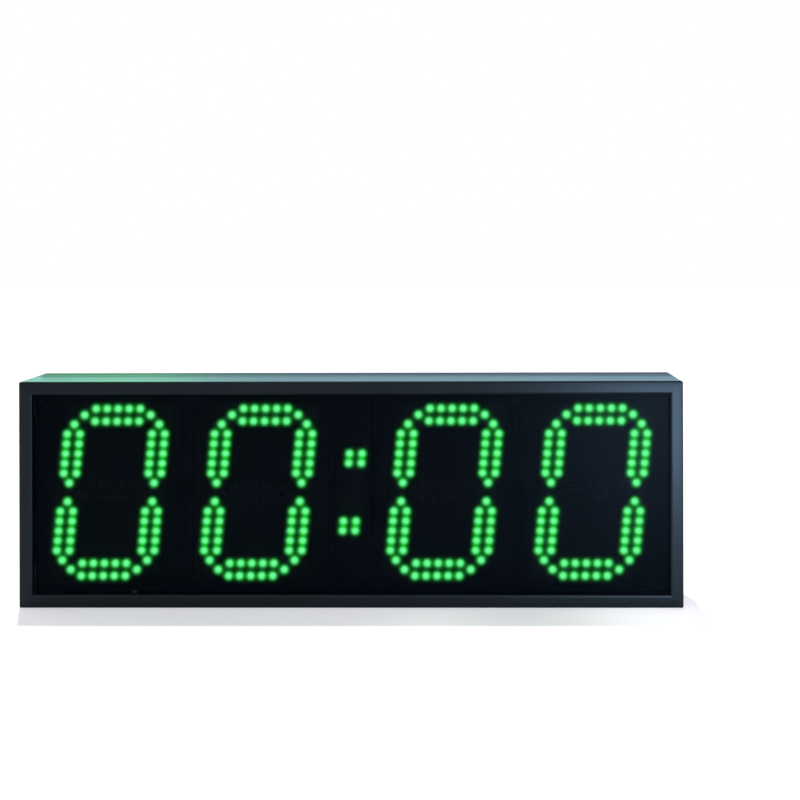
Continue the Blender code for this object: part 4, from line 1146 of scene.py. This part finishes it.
def cover_outlines(settings):
    """The cover's edge and all its openings, in x and z."""
    edge = rounded_outline(*size("rear_cover")[[0, 2]], COVER_CORNER) + seen_from_front("rear_cover")
    holes = []
    for nodes, radius, steps in (
        (COVER_SCREWS, SCREW_HOLE, HOLE_STEPS),
        (HANGER_SCREWS, HANGER_HOLE, HOLE_STEPS),
        (BUTTONS, BUTTON_RADIUS + CLEARANCE, RING_STEPS),
        (["power_socket"], SOCKET_RADIUS + CLEARANCE, ROUND_STEPS),
    ):
        holes += [circle(radius, steps, seen_from_front(node)) for node in nodes]
    switch = size("switch_housing")[[0, 2]] / 2 - SWITCH_LIP + CLEARANCE
    holes.append(rectangle(*switch, seen_from_front("switch_housing")))
    buzzer = seen_from_front("buzzer")
    for place in (buzzer, *circle(SOUND_HOLE_RING, SOUND_HOLE_COUNT, buzzer)):
        holes.append(circle(SOUND_HOLE_RADIUS, HOLE_STEPS, place))
    steps = (np.arange(settings.vent_count) - (settings.vent_count - 1) / 2) * VENT_PITCH
    for side in (-1, 1):
        for step in steps:
            place = (side * (CASE_WIDTH / 2 - VENT_FROM_SIDE) + step, VENT_FROM_BOTTOM)
            holes.append(slot(VENT_WIDTH, settings.vent_height, place))
    return [edge, *holes]


def make_cover(settings):
    """The flat sheet with its openings, and a round post at each corner of the control board."""
    sheet = plate(cover_outlines(settings), COVER_THICKNESS, COVER_EDGE)
    sheet = sheet.turned(FORWARD).at((0, FRONT + (COVER_FACE + COVER_BACK) / 2, 0))
    board = high("control_board") - middle("control_board") - STANDOFF_INSET
    foot = low("rear_cover")[1]
    height = FRONT + COVER_BACK - foot
    post = skin(turned_rings([(STANDOFF_RADIUS, 0), (STANDOFF_RADIUS, height)], POST_STEPS))
    x, z = seen_from_front("control_board")
    places = [(x + i * board[0], foot, z + j * board[2]) for i in (-1, 1) for j in (-1, 1)]
    whole = sheet + post.turned(REARWARD).repeated(places)
    coat = powder_coat("powder_coat", settings)
    piece("cover_sheet", whole, coat, replaces=["rear_cover"])


# Pan heads, in shares of their height, rim or radius
HEAD_RIM = 0.45
HEAD_CROWN = 0.2
HEAD_TIP = 0.05
CROSS_REACH = 0.62
CROSS_HALF_WIDTH = 0.13
SCREW_RECESS = 1.1 * MM


def cross_recess(x, y, reach, half_width, depth):
    """How deep a cross slot is at a point: full in its arms, rising steeply at their sides and ends."""
    side = np.clip((half_width - np.minimum(abs(x), abs(y))) / (half_width / 2), 0, 1)
    end = np.clip((reach - np.hypot(x, y)) / (reach / 2), 0, 1)
    return depth * np.minimum(side, end)


def screw_head(radius, height, recess):
    """A pan head: a low dome with rounded rim, lowered by a cross slot.

    The rim is a quarter circle, lowered at the top by the crown's share. From there the crown rises with
    one minus the square of the distance from the middle.
    """
    rim = height * HEAD_RIM
    flat = radius - rim
    turn = np.linspace(0, np.pi / 2, 6)
    shoulder = [(flat + rim * math.cos(t), height - rim + rim * math.sin(t) * (1 - HEAD_CROWN)) for t in turn]
    top = height - HEAD_CROWN * rim
    inner = np.linspace(flat, HEAD_TIP * radius, 16)[1:]
    crown = [(r, top + HEAD_CROWN * rim * (1 - (r / flat) ** 2)) for r in inner]
    rings = turned_rings([(radius, 0), *shoulder, *crown], HEAD_STEPS)
    reach, half_width = CROSS_REACH * radius, CROSS_HALF_WIDTH * radius
    rings[..., 2] -= cross_recess(rings[..., 0], rings[..., 1], reach, half_width, recess)
    return skin(rings)


def make_screws(fittings):
    """Six screws: a plain shank through the cover, and a pan head on its face."""
    zinc = plain_metal("zinc_plate", fittings.zinc_colour, 0.34)
    face = FRONT + COVER_FACE + CLEARANCE
    for node in COVER_SCREWS:
        shank = [(SCREW_HOLE - CLEARANCE, low(node)[1] - face), (SCREW_HOLE - CLEARANCE, 0)]
        head = screw_head(size(node)[0] / 2, high(node)[1] - face, SCREW_RECESS)
        whole = skin(turned_rings(shank, POST_STEPS)) + head
        name = node.replace("cover_screw", "screw")
        piece(name, put(whole, node, face, REARWARD), zinc, replaces=[node])


# Swivel hanging plates and their shouldered screws
SHOULDER_RADIUS = 3 * MM
COLLAR_RADIUS = 4.5 * MM
HANGER_THREAD_RADIUS = 2 * MM
HANGER_EYE_RADIUS = 4 * MM
HANGER_HEAD_HEIGHT = 1.8 * MM
HANGER_HEAD_RECESS = 1.2 * MM
HANGER_EDGE = 0.35 * MM
HANGER_GRAIN = (260, 260, 5200)


def make_hangers(fittings):
    """Each plate: a flat shape with round ends, a hole for its screw at the top and an eye at the foot."""
    zinc = plain_metal("hanger_zinc", fittings.zinc_colour, 0.36, HANGER_GRAIN)
    for side in ("left", "right"):
        node = f"hanger_{side}"
        width, thickness, height = size(node)
        reach = (height - width) / 2
        pivot = circle(SHOULDER_RADIUS + CLEARANCE, RING_STEPS, (0, reach))
        eye = circle(HANGER_EYE_RADIUS, ROUND_STEPS, (0, -reach))
        surface = plate([slot(width, height), pivot, eye], thickness, HANGER_EDGE)
        surface = put(surface, node, middle(node)[1])
        piece(f"hanging_plate_{side}", surface, zinc, f"hanger_{side}_plate", [node])
        make_hanger_screw(side, zinc)


def make_hanger_screw(side, material):
    """Thread, collar on the cover, shoulder through the plate and a wide pan head."""
    node = f"hanger_screw_{side}"
    seat = FRONT + COVER_FACE + CLEARANCE
    collar = FRONT + CASE_DEPTH - seat
    shoulder = high(node)[1] - seat - HANGER_HEAD_HEIGHT
    profile = [
        (HANGER_THREAD_RADIUS, low(node)[1] - seat),
        (HANGER_THREAD_RADIUS, 0),
        (COLLAR_RADIUS, 0),
        (COLLAR_RADIUS, collar),
        (SHOULDER_RADIUS, collar),
        (SHOULDER_RADIUS, shoulder),
    ]
    head = screw_head(size(node)[0] / 2, HANGER_HEAD_HEIGHT, HANGER_HEAD_RECESS).at((0, 0, shoulder))
    whole = skin(turned_rings(profile, ROUND_STEPS)) + head
    piece(f"shoulder_screw_{side}", put(whole, node, seat, REARWARD), material, replaces=[node])


# Push-buttons
BUTTON_FLANGE_HEIGHT = 1.1 * MM
BUTTON_EDGE = 0.7 * MM
BUTTON_DISH = 0.3 * MM


def make_buttons(fittings):
    """Caps with a rounded rim and a shallow dish for the fingertip.

    The dish is lowest in the middle, by its depth, and rises with the cosine of the distance to the rim.
    """
    grey = moulded("button_plastic", fittings.button_colour, 0.42)
    inner = BUTTON_RADIUS - BUTTON_EDGE
    for number, node in enumerate(BUTTONS, 1):
        foot = low(node)[1]
        flange = size(node)[0] / 2
        height = high(node)[1] - foot
        edge = rounding(BUTTON_EDGE, 4, 0, (inner, height - BUTTON_EDGE))
        radii = np.linspace(inner, 0.1 * MM, 8)[1:]
        dish = [(r, height - BUTTON_DISH * (1 + math.cos(math.pi * r / inner)) / 2) for r in radii]
        wall = [(flange, 0), (flange, BUTTON_FLANGE_HEIGHT), (BUTTON_RADIUS, BUTTON_FLANGE_HEIGHT)]
        cap = put(skin(turned_rings([*wall, *edge, *dish], ROUND_STEPS)), node, foot, REARWARD)
        piece(f"cap_{number}", cap, grey, f"button_{number}_cap", [node])


# Rocker switch, about its pivot
ROCKER_PIVOT_DEPTH = COVER_FACE - 1.2 * MM
ROCKER_WIDTH = 10.2 * MM
ROCKER_HALF = 7.5 * MM
ROCKER_MIDDLE = 2.2 * MM
ROCKER_RISE = 1.6 * MM
ROCKER_BEVEL = 0.35 * MM
ROCKER_SKIRT_REACH = 5 * MM
ROCKER_SKIRT_DEPTH = 2.5 * MM
ROCKER_TILT = math.radians(12)
MARK_PLACE = 4.4 * MM
MARK_RADIUS = 1.35 * MM
MARK_STROKE = 0.4 * MM
MARK_LIFT = 0.04 * MM
POCKET_DEPTH = 5.5 * MM
SWITCH_CORNER = 1.6 * MM
SWITCH_EDGE = 0.5 * MM
BLADE_LENGTH = 6 * MM
BLADE_SECTION = (4.8 * MM, 0.8 * MM, 0.1 * MM)
BLADE_PLACE = 4.5 * MM


def rocker_height(z):
    """The rocker's hollow top: its middle plus its rise times the square of the share of its half length."""
    return ROCKER_MIDDLE + ROCKER_RISE * (z / ROCKER_HALF) ** 2


def tilted(surface):
    """Turned about X as the rocker rests, and put on its pivot."""
    c, s = math.cos(ROCKER_TILT), math.sin(ROCKER_TILT)
    pivot = (middle("switch_rocker")[0], FRONT + ROCKER_PIVOT_DEPTH, middle("switch_housing")[2])
    return surface.turned([[1, 0, 0], [0, c, -s], [0, s, c]]).at(pivot)


def rocker_mark(rings):
    """A flat mark laid on the rocker's top: rings in x and z, each lifted to the top's height."""
    points = np.empty((*rings.shape[:2], 3))
    points[..., 0] = rings[..., 0]
    points[..., 1] = rocker_height(rings[..., 1]) + rings[..., 2]
    points[..., 2] = rings[..., 1]
    return points


def make_rocker(fittings):
    """The rocker: its side outline, the hollow top over a narrower skirt, drawn out across its width.

    Its marks are a ring and a bar, each a closed band that follows the top.
    """
    z = np.linspace(-ROCKER_HALF, ROCKER_HALF, 25)
    top = np.column_stack([rocker_height(z), z])
    shoulder = ROCKER_MIDDLE / 2
    skirt = [
        (shoulder, ROCKER_HALF),
        (-ROCKER_SKIRT_DEPTH, ROCKER_SKIRT_REACH),
        (-ROCKER_SKIRT_DEPTH, -ROCKER_SKIRT_REACH),
        (shoulder, -ROCKER_HALF),
    ]
    across = extruded(np.vstack([top, skirt]), -ROCKER_WIDTH / 2, ROCKER_WIDTH / 2)
    whole = tilted(across.turned([[0, 0, 1], [1, 0, 0], [0, 1, 0]]))
    grey = moulded("rocker_plastic", fittings.button_colour, 0.4)
    piece("rocker_cap", whole, grey, "rocker", ["switch_rocker"], bevel=ROCKER_BEVEL)
    inner = MARK_RADIUS - MARK_STROKE
    section = [(MARK_RADIUS, -MARK_LIFT), (MARK_RADIUS, MARK_LIFT), (inner, MARK_LIFT), (inner, -MARK_LIFT)]
    ring = turned_rings(section, RING_STEPS) - (0, MARK_PLACE, 0)
    levels = [(0, -MARK_LIFT), (0, MARK_LIFT)]
    bar = rounded_rings(MARK_STROKE, 2 * MARK_RADIUS, MARK_STROKE / 2, levels) + (0, MARK_PLACE, 0)
    marks = skin(rocker_mark(ring), closes=True) + skin(rocker_mark(bar))
    white = moulded("mark_paint", fittings.mark_colour, 0.5, 900)
    piece("rocker_marks", tilted(marks.turned_over()), white, "rocker")


def make_switch_housing(fittings):
    """A flange with rounded edges, the body behind it and the pocket that the rocker sits in."""
    node = "switch_housing"
    width, height = size(node)[[0, 2]]
    face = FRONT + COVER_FACE
    rim = high(node)[1] - face
    wall = (width - ROCKER_WIDTH) / 2 - CLEARANCE
    end = low(node)[1] - face + BLADE_LENGTH
    edge = SWITCH_EDGE
    outer = [(edge - x, rim - edge + y) for x, y in rounding(edge, 3, 0)]
    stations = [(SWITCH_LIP, end), (SWITCH_LIP, CLEARANCE), (0, CLEARANCE), *outer]
    stations += [(wall - edge / 2, rim), (wall, rim - edge / 2), (wall, -POCKET_DEPTH)]
    body = skin(rounded_rings(width, height, SWITCH_CORNER, stations))
    blade = skin(rounded_rings(*BLADE_SECTION, [(0, end - BLADE_LENGTH), (0, end)], 2))
    whole = body + blade.repeated([(0, side * BLADE_PLACE, 0) for side in (1, -1)])
    black = moulded("switch_plastic", fittings.black_colour, 0.42)
    piece("switch_frame", put(whole, node, face, REARWARD), black, replaces=[node])


# Power socket, with heights from the cover's face
THREAD_PITCH = 0.75 * MM
THREAD_CUT = 0.3 * MM
SOCKET_BORE = 2.9 * MM
SOCKET_BORE_DEPTH = 10 * MM
SOCKET_PIN = 1.05 * MM
SOCKET_PIN_RECESS = 2 * MM
SOCKET_BODY = 5.6 * MM
SOCKET_FLANGE = 2 * MM
THREAD_END = 0.5 * MM
SOCKET_CHAMFER = 0.4 * MM
PIN_CHAMFER = 0.4 * MM
NUT_EASE = 0.4 * MM
NUT_EASE_DEPTH = 0.3 * MM
NICKEL_COLOUR = (0.62, 0.6, 0.56)


def thread(radius, start, end, steps):
    """A threaded stretch: the radius less a cut times the triangle wave of height over pitch less turn."""
    height = np.arange(start, end, THREAD_PITCH / 6)[:, None]
    turn = (np.arange(steps) + 0.5) / steps
    phase = (height / THREAD_PITCH - turn) % 1
    cut = THREAD_CUT * abs(2 * phase - 1)
    rings = np.empty((len(height), steps, 3))
    rings[..., :2] = circle(1, steps) * (radius - cut)[..., None]
    rings[..., 2] = height
    return rings


def make_socket(fittings):
    """Body, flange, thread and bore in one turned skin, with a pin on the bore's floor."""
    node = "power_socket"
    face = FRONT + COVER_FACE
    seat = COVER_BACK - COVER_FACE - CLEARANCE
    mouth = high(node)[1] - face
    floor = mouth - SOCKET_BORE_DEPTH
    flange = size(node)[0] / 2
    before = [
        (SOCKET_BODY, low(node)[1] - face),
        (SOCKET_BODY, seat - SOCKET_FLANGE),
        (flange, seat - SOCKET_FLANGE),
        (flange, seat),
    ]
    after = [
        (SOCKET_RADIUS - THREAD_CUT, mouth - SOCKET_CHAMFER),
        (SOCKET_RADIUS - 2 * THREAD_CUT, mouth),
        (SOCKET_BORE + THREAD_CUT, mouth),
        (SOCKET_BORE, mouth - THREAD_CUT),
        (SOCKET_BORE, floor),
    ]
    threaded = thread(SOCKET_RADIUS, seat, mouth - THREAD_END, ROUND_STEPS)
    rings = [turned_rings(before, ROUND_STEPS), threaded, turned_rings(after, ROUND_STEPS)]
    body = skin(np.concatenate(rings))
    black = moulded("socket_plastic", fittings.black_colour, 0.35)
    piece("socket_body", put(body, node, face, REARWARD), black, replaces=[node])
    tip = mouth - SOCKET_PIN_RECESS
    radii = np.array([1, 1, 0.6, 0.1]) * SOCKET_PIN
    pin = skin(turned_rings(np.column_stack([radii, (floor, tip - PIN_CHAMFER, tip, tip)]), POST_STEPS))
    nickel = plain_metal("nickel", NICKEL_COLOUR, 0.22)
    piece("socket_pin", put(pin, node, face, REARWARD), nickel)
    make_nut(nickel)


def make_nut(nickel):
    """A six-sided nut: a side lies at the flat distance over the cosine of the turn from the flat's middle,
    and past the chamfer circle both faces fall by the tangent of 30 degrees.
    """
    node = "socket_nut"
    height = size(node)[1]
    flat = size(node)[2] / 2 * math.cos(math.pi / 6)
    turn = 2 * np.pi * np.arange(NUT_STEPS) / NUT_STEPS
    side = flat / np.cos((turn + np.pi / 6) % (np.pi / 3) - np.pi / 6)
    fall = (side - flat) * math.tan(math.pi / 6)
    bore = np.full(NUT_STEPS, SOCKET_RADIUS + CLEARANCE / 2)
    ease = bore + NUT_EASE
    inner = np.minimum(side, flat)
    radii = [bore, ease, inner, side, side, inner, ease, bore]
    heights = [NUT_EASE_DEPTH, 0, 0, fall, height - fall, height, height, height - NUT_EASE_DEPTH]
    level = np.stack([np.broadcast_to(each, NUT_STEPS) for each in heights])
    rings = np.stack([radii * np.cos(turn), radii * np.sin(turn), level], -1)
    nut = put(skin(rings, closes=True).welded(), node, low(node)[1], REARWARD)
    piece("hex_nut", nut, nickel, replaces=[node])


# Finishes inside: the grain of drawn metal, whose lines run from side to side, and the colours
MILL_GRAIN = (12, 4200, 4200)
KEY_COLOUR = (0.6, 0.61, 0.63)
RAIL_COLOUR = (0.012, 0.012, 0.013)
CELL_COLOUR = (0.6, 0.6, 0.58)
COIL_COLOUR = (0.07, 0.066, 0.062)


def make_insides(fittings):
    """Finishes for the pieces inside, whose shapes stay as they are."""
    board, sponge, flat_cable = circuit_board(), foam(), ribbon_cable()
    bare = plain_metal("mill_aluminium", KEY_COLOUR, 0.38, MILL_GRAIN)
    rail = plain_metal("black_rail", RAIL_COLOUR, 0.45, MILL_GRAIN)
    steel = plain_metal("cell_steel", CELL_COLOUR, 0.25)
    black = moulded("black_moulding", fittings.black_colour, 0.5)
    sheath = moulded("lead_sheath", fittings.black_colour, 0.55, 500, 0.03 * MM)
    ferrite = moulded("coil_ferrite", COIL_COLOUR, 0.65, 1500, 0.05 * MM)
    wanted = {
        "board": board,
        "corner_key": bare,
        "rail": rail,
        "window_strip": sponge,
        "link_ribbon": flat_cable,
        "main_ribbon": flat_cable,
        "clock_cell": steel,
        "control_chip": black,
        "buzzer": black,
        "cell_holder": black,
        "button_switch": black,
        "lead": sheath,
        "coil": ferrite,
    }
    for name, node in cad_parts.items():
        for word, material in wanted.items():
            if word in name and not node.hide_render:
                refinish(node, material)


# Studio: the camera as fitted to the photograph, the floor, what is round it and the lamps
CAMERA_PLACE = (0.0845, -0.9156, 0.3213)
CAMERA_TURN = (math.radians(90), math.radians(0.16), math.radians(0.47))
CAMERA_LENS = 45.97
CAMERA_SENSOR = 36
CAMERA_SHIFT = (-0.0481, -0.2024)
FLOOR_HALF = 6.0
FLOOR_CORNER = 0.1
FLOOR_THICKNESS = 20 * MM
FLOOR_LIFT = 0.345
FLOOR_LIFT_COLOUR = (0.93, 0.86, 0.99)
WALL_SPAN = (0.5, 0.95)
WALL_COLOUR = (1.5, 1.88, 2.1)
SUN_TURN = (math.radians(-11.8), math.radians(-4.4), 0)
SUN_SIZE = math.radians(1)

# Square lamps: each one's place, aim, size and colour
LOW_PANEL = (0.41, -0.62, 0.055), (CASE_WIDTH / 2, FRONT, 0.12), 0.18, (0.65, 0.8, 0.98)
GREEN_LAMP = (-0.5, 0.7, 0.7), (-0.25, 0, CASE_HEIGHT), 0.3, (0.13, 1.0, 0.12)
FLOOR_LAMP_Y = -0.04
FLOOR_LAMP_SIZE = 0.05
FLOOR_LAMP_COLOUR = (0.98, 0.99, 1.0)
# Each floor lamp's place across, its height and its share of the power
FLOOR_LAMPS = {"right": (0.262, 0.085, 1.0), "middle": (0.086, 0.09, 0.375)}

# A dark card behind the top edge
CARD_START = -0.3
CARD_LENGTH = 0.6
CARD_RISE = 8 * MM
CARD_THICKNESS = 1 * MM
CARD_BEHIND = 20 * MM
CARD_COLOUR = (0.01, 0.01, 0.01)


def make_camera():
    """The camera, made the scene's own."""
    view = bpy.data.cameras.new("camera")
    view.lens = CAMERA_LENS
    view.sensor_width = CAMERA_SENSOR
    view.shift_x, view.shift_y = CAMERA_SHIFT
    made = bpy.data.objects.new("camera", view)
    made.location = CAMERA_PLACE
    made.rotation_euler = CAMERA_TURN
    bpy.context.scene.collection.objects.link(made)
    bpy.context.scene.camera = made


def make_world(settings):
    """White where it is seen, and an even light on the object. Reflections see a bluer back wall."""
    world = bpy.data.worlds.new("studio")
    world.use_nodes = True
    bpy.context.scene.world = world
    graph = Graph(world.node_tree)
    background = graph.tree.nodes["Background"].inputs
    direction = graph.node("ShaderNodeTexCoord", output="Generated")
    rearward = graph.node("ShaderNodeSeparateXYZ", inputs={"Vector": direction}, output="Y")
    wall = graph.spread(rearward, *WALL_SPAN) * graph.rays("Glossy")
    graph.feed(background["Color"], graph.mix(wall, (1, 1, 1), WALL_COLOUR))
    graph.feed(background["Strength"], graph.seen_directly() * (1 - settings.surround) + settings.surround)


def make_floor(settings):
    """A pale floor with a fine grain. Where it is seen it is lifted to white, and it keeps the shadow."""
    slab = [(0, -FLOOR_THICKNESS), (0, 0)]
    surface = skin(rounded_rings(2 * FLOOR_HALF, 2 * FLOOR_HALF, FLOOR_CORNER, slab))
    finish = Finish("floor_paint", Roughness=1.0, Specular_IOR_Level=0, Emission_Color=FLOOR_LIFT_COLOUR)
    grain = finish.mix(finish.noise(30, 2), settings.floor_colour, shade(settings.floor_colour, 1.02))
    finish.vary(Base_Color=grain, Emission_Strength=finish.seen_directly() * FLOOR_LIFT)
    made = bpy.data.objects.new("floor", surface.mesh("floor"))
    made.data.materials.append(finish.material)
    bpy.context.scene.collection.objects.link(made)


def panel(name, power, place, aim, size, colour):
    """A square lamp that shines at a point and isn't seen itself."""
    lamp = bpy.data.lights.new(name, "AREA")
    lamp.size = size
    lamp.energy = power
    lamp.color = colour
    made = bpy.data.objects.new(name, lamp)
    made.location = place
    made.rotation_euler = (Vector(aim) - made.location).to_track_quat("-Z", "Y").to_euler()
    made.visible_camera = False
    bpy.context.scene.collection.objects.link(made)
    return made


def make_lights(settings):
    """A hard light overhead, the low panel, and the lamps that light only the top bar or the floor."""
    sun = bpy.data.lights.new("overhead", "SUN")
    sun.energy = settings.sun
    sun.angle = SUN_SIZE
    over = bpy.data.objects.new("overhead", sun)
    over.rotation_euler = SUN_TURN
    bpy.context.scene.collection.objects.link(over)
    panel("low_panel", settings.glint, *LOW_PANEL)
    green = panel("green_lamp", settings.tint, *GREEN_LAMP)
    green.visible_diffuse = False
    light_only(green, "bar_top")
    for side, (x, height, share) in FLOOR_LAMPS.items():
        place, aim = (x, FLOOR_LAMP_Y, height), (x, FLOOR_LAMP_Y, 0)
        power = share * settings.floor_fill
        lamp = panel(f"floor_lamp_{side}", power, place, aim, FLOOR_LAMP_SIZE, FLOOR_LAMP_COLOUR)
        light_only(lamp, "floor")


def light_only(lamp, name):
    """Keeps a lamp's light to one object, and lets no other object block it."""
    lit = bpy.data.collections.new(f"{lamp.name}_lights")
    lit.objects.link(bpy.data.objects[name])
    lamp.light_linking.receiver_collection = lit
    lamp.light_linking.blocker_collection = lit


def make_card():
    """A dark card behind the top, which only its reflection sees: the top dims towards its rear edge."""
    outline = np.array([(0, 0), (CARD_LENGTH, 0), (CARD_LENGTH, CARD_RISE), (0, CARD_RISE)])
    surface = extruded(outline, 0, CARD_THICKNESS).turned(FORWARD)
    surface = surface.at((CARD_START, FRONT + CASE_DEPTH + CARD_BEHIND, CASE_HEIGHT))
    card = bpy.data.objects.new("card", surface.mesh("card"))
    card.data.materials.append(moulded("card_paper", CARD_COLOUR, 0.9, shine=0))
    card.visible_camera = card.visible_diffuse = card.visible_shadow = card.visible_transmission = False
    bpy.context.scene.collection.objects.link(card)


def make_stage(settings):
    """The studio, in plain display colours."""
    bpy.context.scene.view_settings.view_transform = "Standard"
    make_camera()
    make_world(settings)
    make_floor(settings)
    make_lights(settings)
    make_card()


class TIMER_OT_stage(bpy.types.Operator):
    """Camera, floor, background and lamps"""

    bl_idname = "timer.stage"
    bl_label = "Studio"

    def execute(self, context):
        make_stage(context.scene.timer_stage)
        return {"FINISHED"}


class TIMER_OT_case(bpy.types.Operator):
    """Four mitred bars of the case"""

    bl_idname = "timer.case"
    bl_label = "Case bars"

    def execute(self, context):
        make_case(context.scene.timer_case)
        return {"FINISHED"}


class TIMER_OT_window(bpy.types.Operator):
    """Smoked front window"""

    bl_idname = "timer.window"
    bl_label = "Window"

    def execute(self, context):
        make_window(context.scene.timer_window)
        return {"FINISHED"}


class TIMER_OT_lamps(bpy.types.Operator):
    """Lamps of the digits and the colon, their holders and their glow"""

    bl_idname = "timer.lamps"
    bl_label = "Lamps"

    def execute(self, context):
        make_lamps(context.scene.timer_lamps, context.scene.timer_fittings)
        return {"FINISHED"}


class TIMER_OT_receiver(bpy.types.Operator):
    """Receiver of the remote control"""

    bl_idname = "timer.receiver"
    bl_label = "Receiver"

    def execute(self, context):
        make_receiver(context.scene.timer_fittings)
        return {"FINISHED"}


class TIMER_OT_cover(bpy.types.Operator):
    """Rear cover with its vents and openings"""

    bl_idname = "timer.cover"
    bl_label = "Rear cover"

    def execute(self, context):
        make_cover(context.scene.timer_cover)
        return {"FINISHED"}


class TIMER_OT_screws(bpy.types.Operator):
    """Six cover screws"""

    bl_idname = "timer.screws"
    bl_label = "Cover screws"

    def execute(self, context):
        make_screws(context.scene.timer_fittings)
        return {"FINISHED"}


class TIMER_OT_hangers(bpy.types.Operator):
    """Swivel hanging plates and their screws"""

    bl_idname = "timer.hangers"
    bl_label = "Hanging plates"

    def execute(self, context):
        make_hangers(context.scene.timer_fittings)
        return {"FINISHED"}


class TIMER_OT_buttons(bpy.types.Operator):
    """Four push-buttons"""

    bl_idname = "timer.buttons"
    bl_label = "Buttons"

    def execute(self, context):
        make_buttons(context.scene.timer_fittings)
        return {"FINISHED"}


class TIMER_OT_switch(bpy.types.Operator):
    """Power switch: housing, rocker and its marks"""

    bl_idname = "timer.switch"
    bl_label = "Power switch"

    def execute(self, context):
        make_switch_housing(context.scene.timer_fittings)
        make_rocker(context.scene.timer_fittings)
        return {"FINISHED"}


class TIMER_OT_socket(bpy.types.Operator):
    """Power socket with its pin and nut"""

    bl_idname = "timer.socket"
    bl_label = "Power socket"

    def execute(self, context):
        make_socket(context.scene.timer_fittings)
        return {"FINISHED"}


class TIMER_OT_insides(bpy.types.Operator):
    """Finishes of the boards, rails, strips, cables and leads inside"""

    bl_idname = "timer.insides"
    bl_label = "Insides"

    def execute(self, context):
        make_insides(context.scene.timer_fittings)
        return {"FINISHED"}


GROUPS = {
    "timer_case": CaseSettings,
    "timer_window": WindowSettings,
    "timer_lamps": LampSettings,
    "timer_cover": CoverSettings,
    "timer_fittings": FittingSettings,
    "timer_stage": StageSettings,
}
STEPS = (
    TIMER_OT_case,
    TIMER_OT_window,
    TIMER_OT_lamps,
    TIMER_OT_receiver,
    TIMER_OT_cover,
    TIMER_OT_screws,
    TIMER_OT_hangers,
    TIMER_OT_buttons,
    TIMER_OT_switch,
    TIMER_OT_socket,
    TIMER_OT_insides,
    TIMER_OT_stage,
)


class TIMER_PT_panel(bpy.types.Panel):
    """Steps and settings of the timer"""

    bl_idname = "TIMER_PT_panel"
    bl_label = "Sports timer"
    bl_space_type = "VIEW_3D"
    bl_region_type = "UI"
    bl_category = "Timer"

    def draw(self, context):
        for step in STEPS:
            self.layout.operator(step.bl_idname)
        for name, group in GROUPS.items():
            box = self.layout.box()
            for key in group.__annotations__:
                box.prop(getattr(context.scene, name), key)


def register():
    for each in (*GROUPS.values(), *STEPS, TIMER_PT_panel):
        bpy.utils.register_class(each)
    for name, group in GROUPS.items():
        setattr(bpy.types.Scene, name, PointerProperty(type=group))


def unregister():
    for name in GROUPS:
        delattr(bpy.types.Scene, name)
    for each in (TIMER_PT_panel, *reversed(STEPS), *reversed(GROUPS.values())):
        bpy.utils.unregister_class(each)


def main():
    register()
    for step in STEPS:
        getattr(bpy.ops.timer, step.bl_idname.split(".")[1])()


if __name__ == "__main__":
    main()
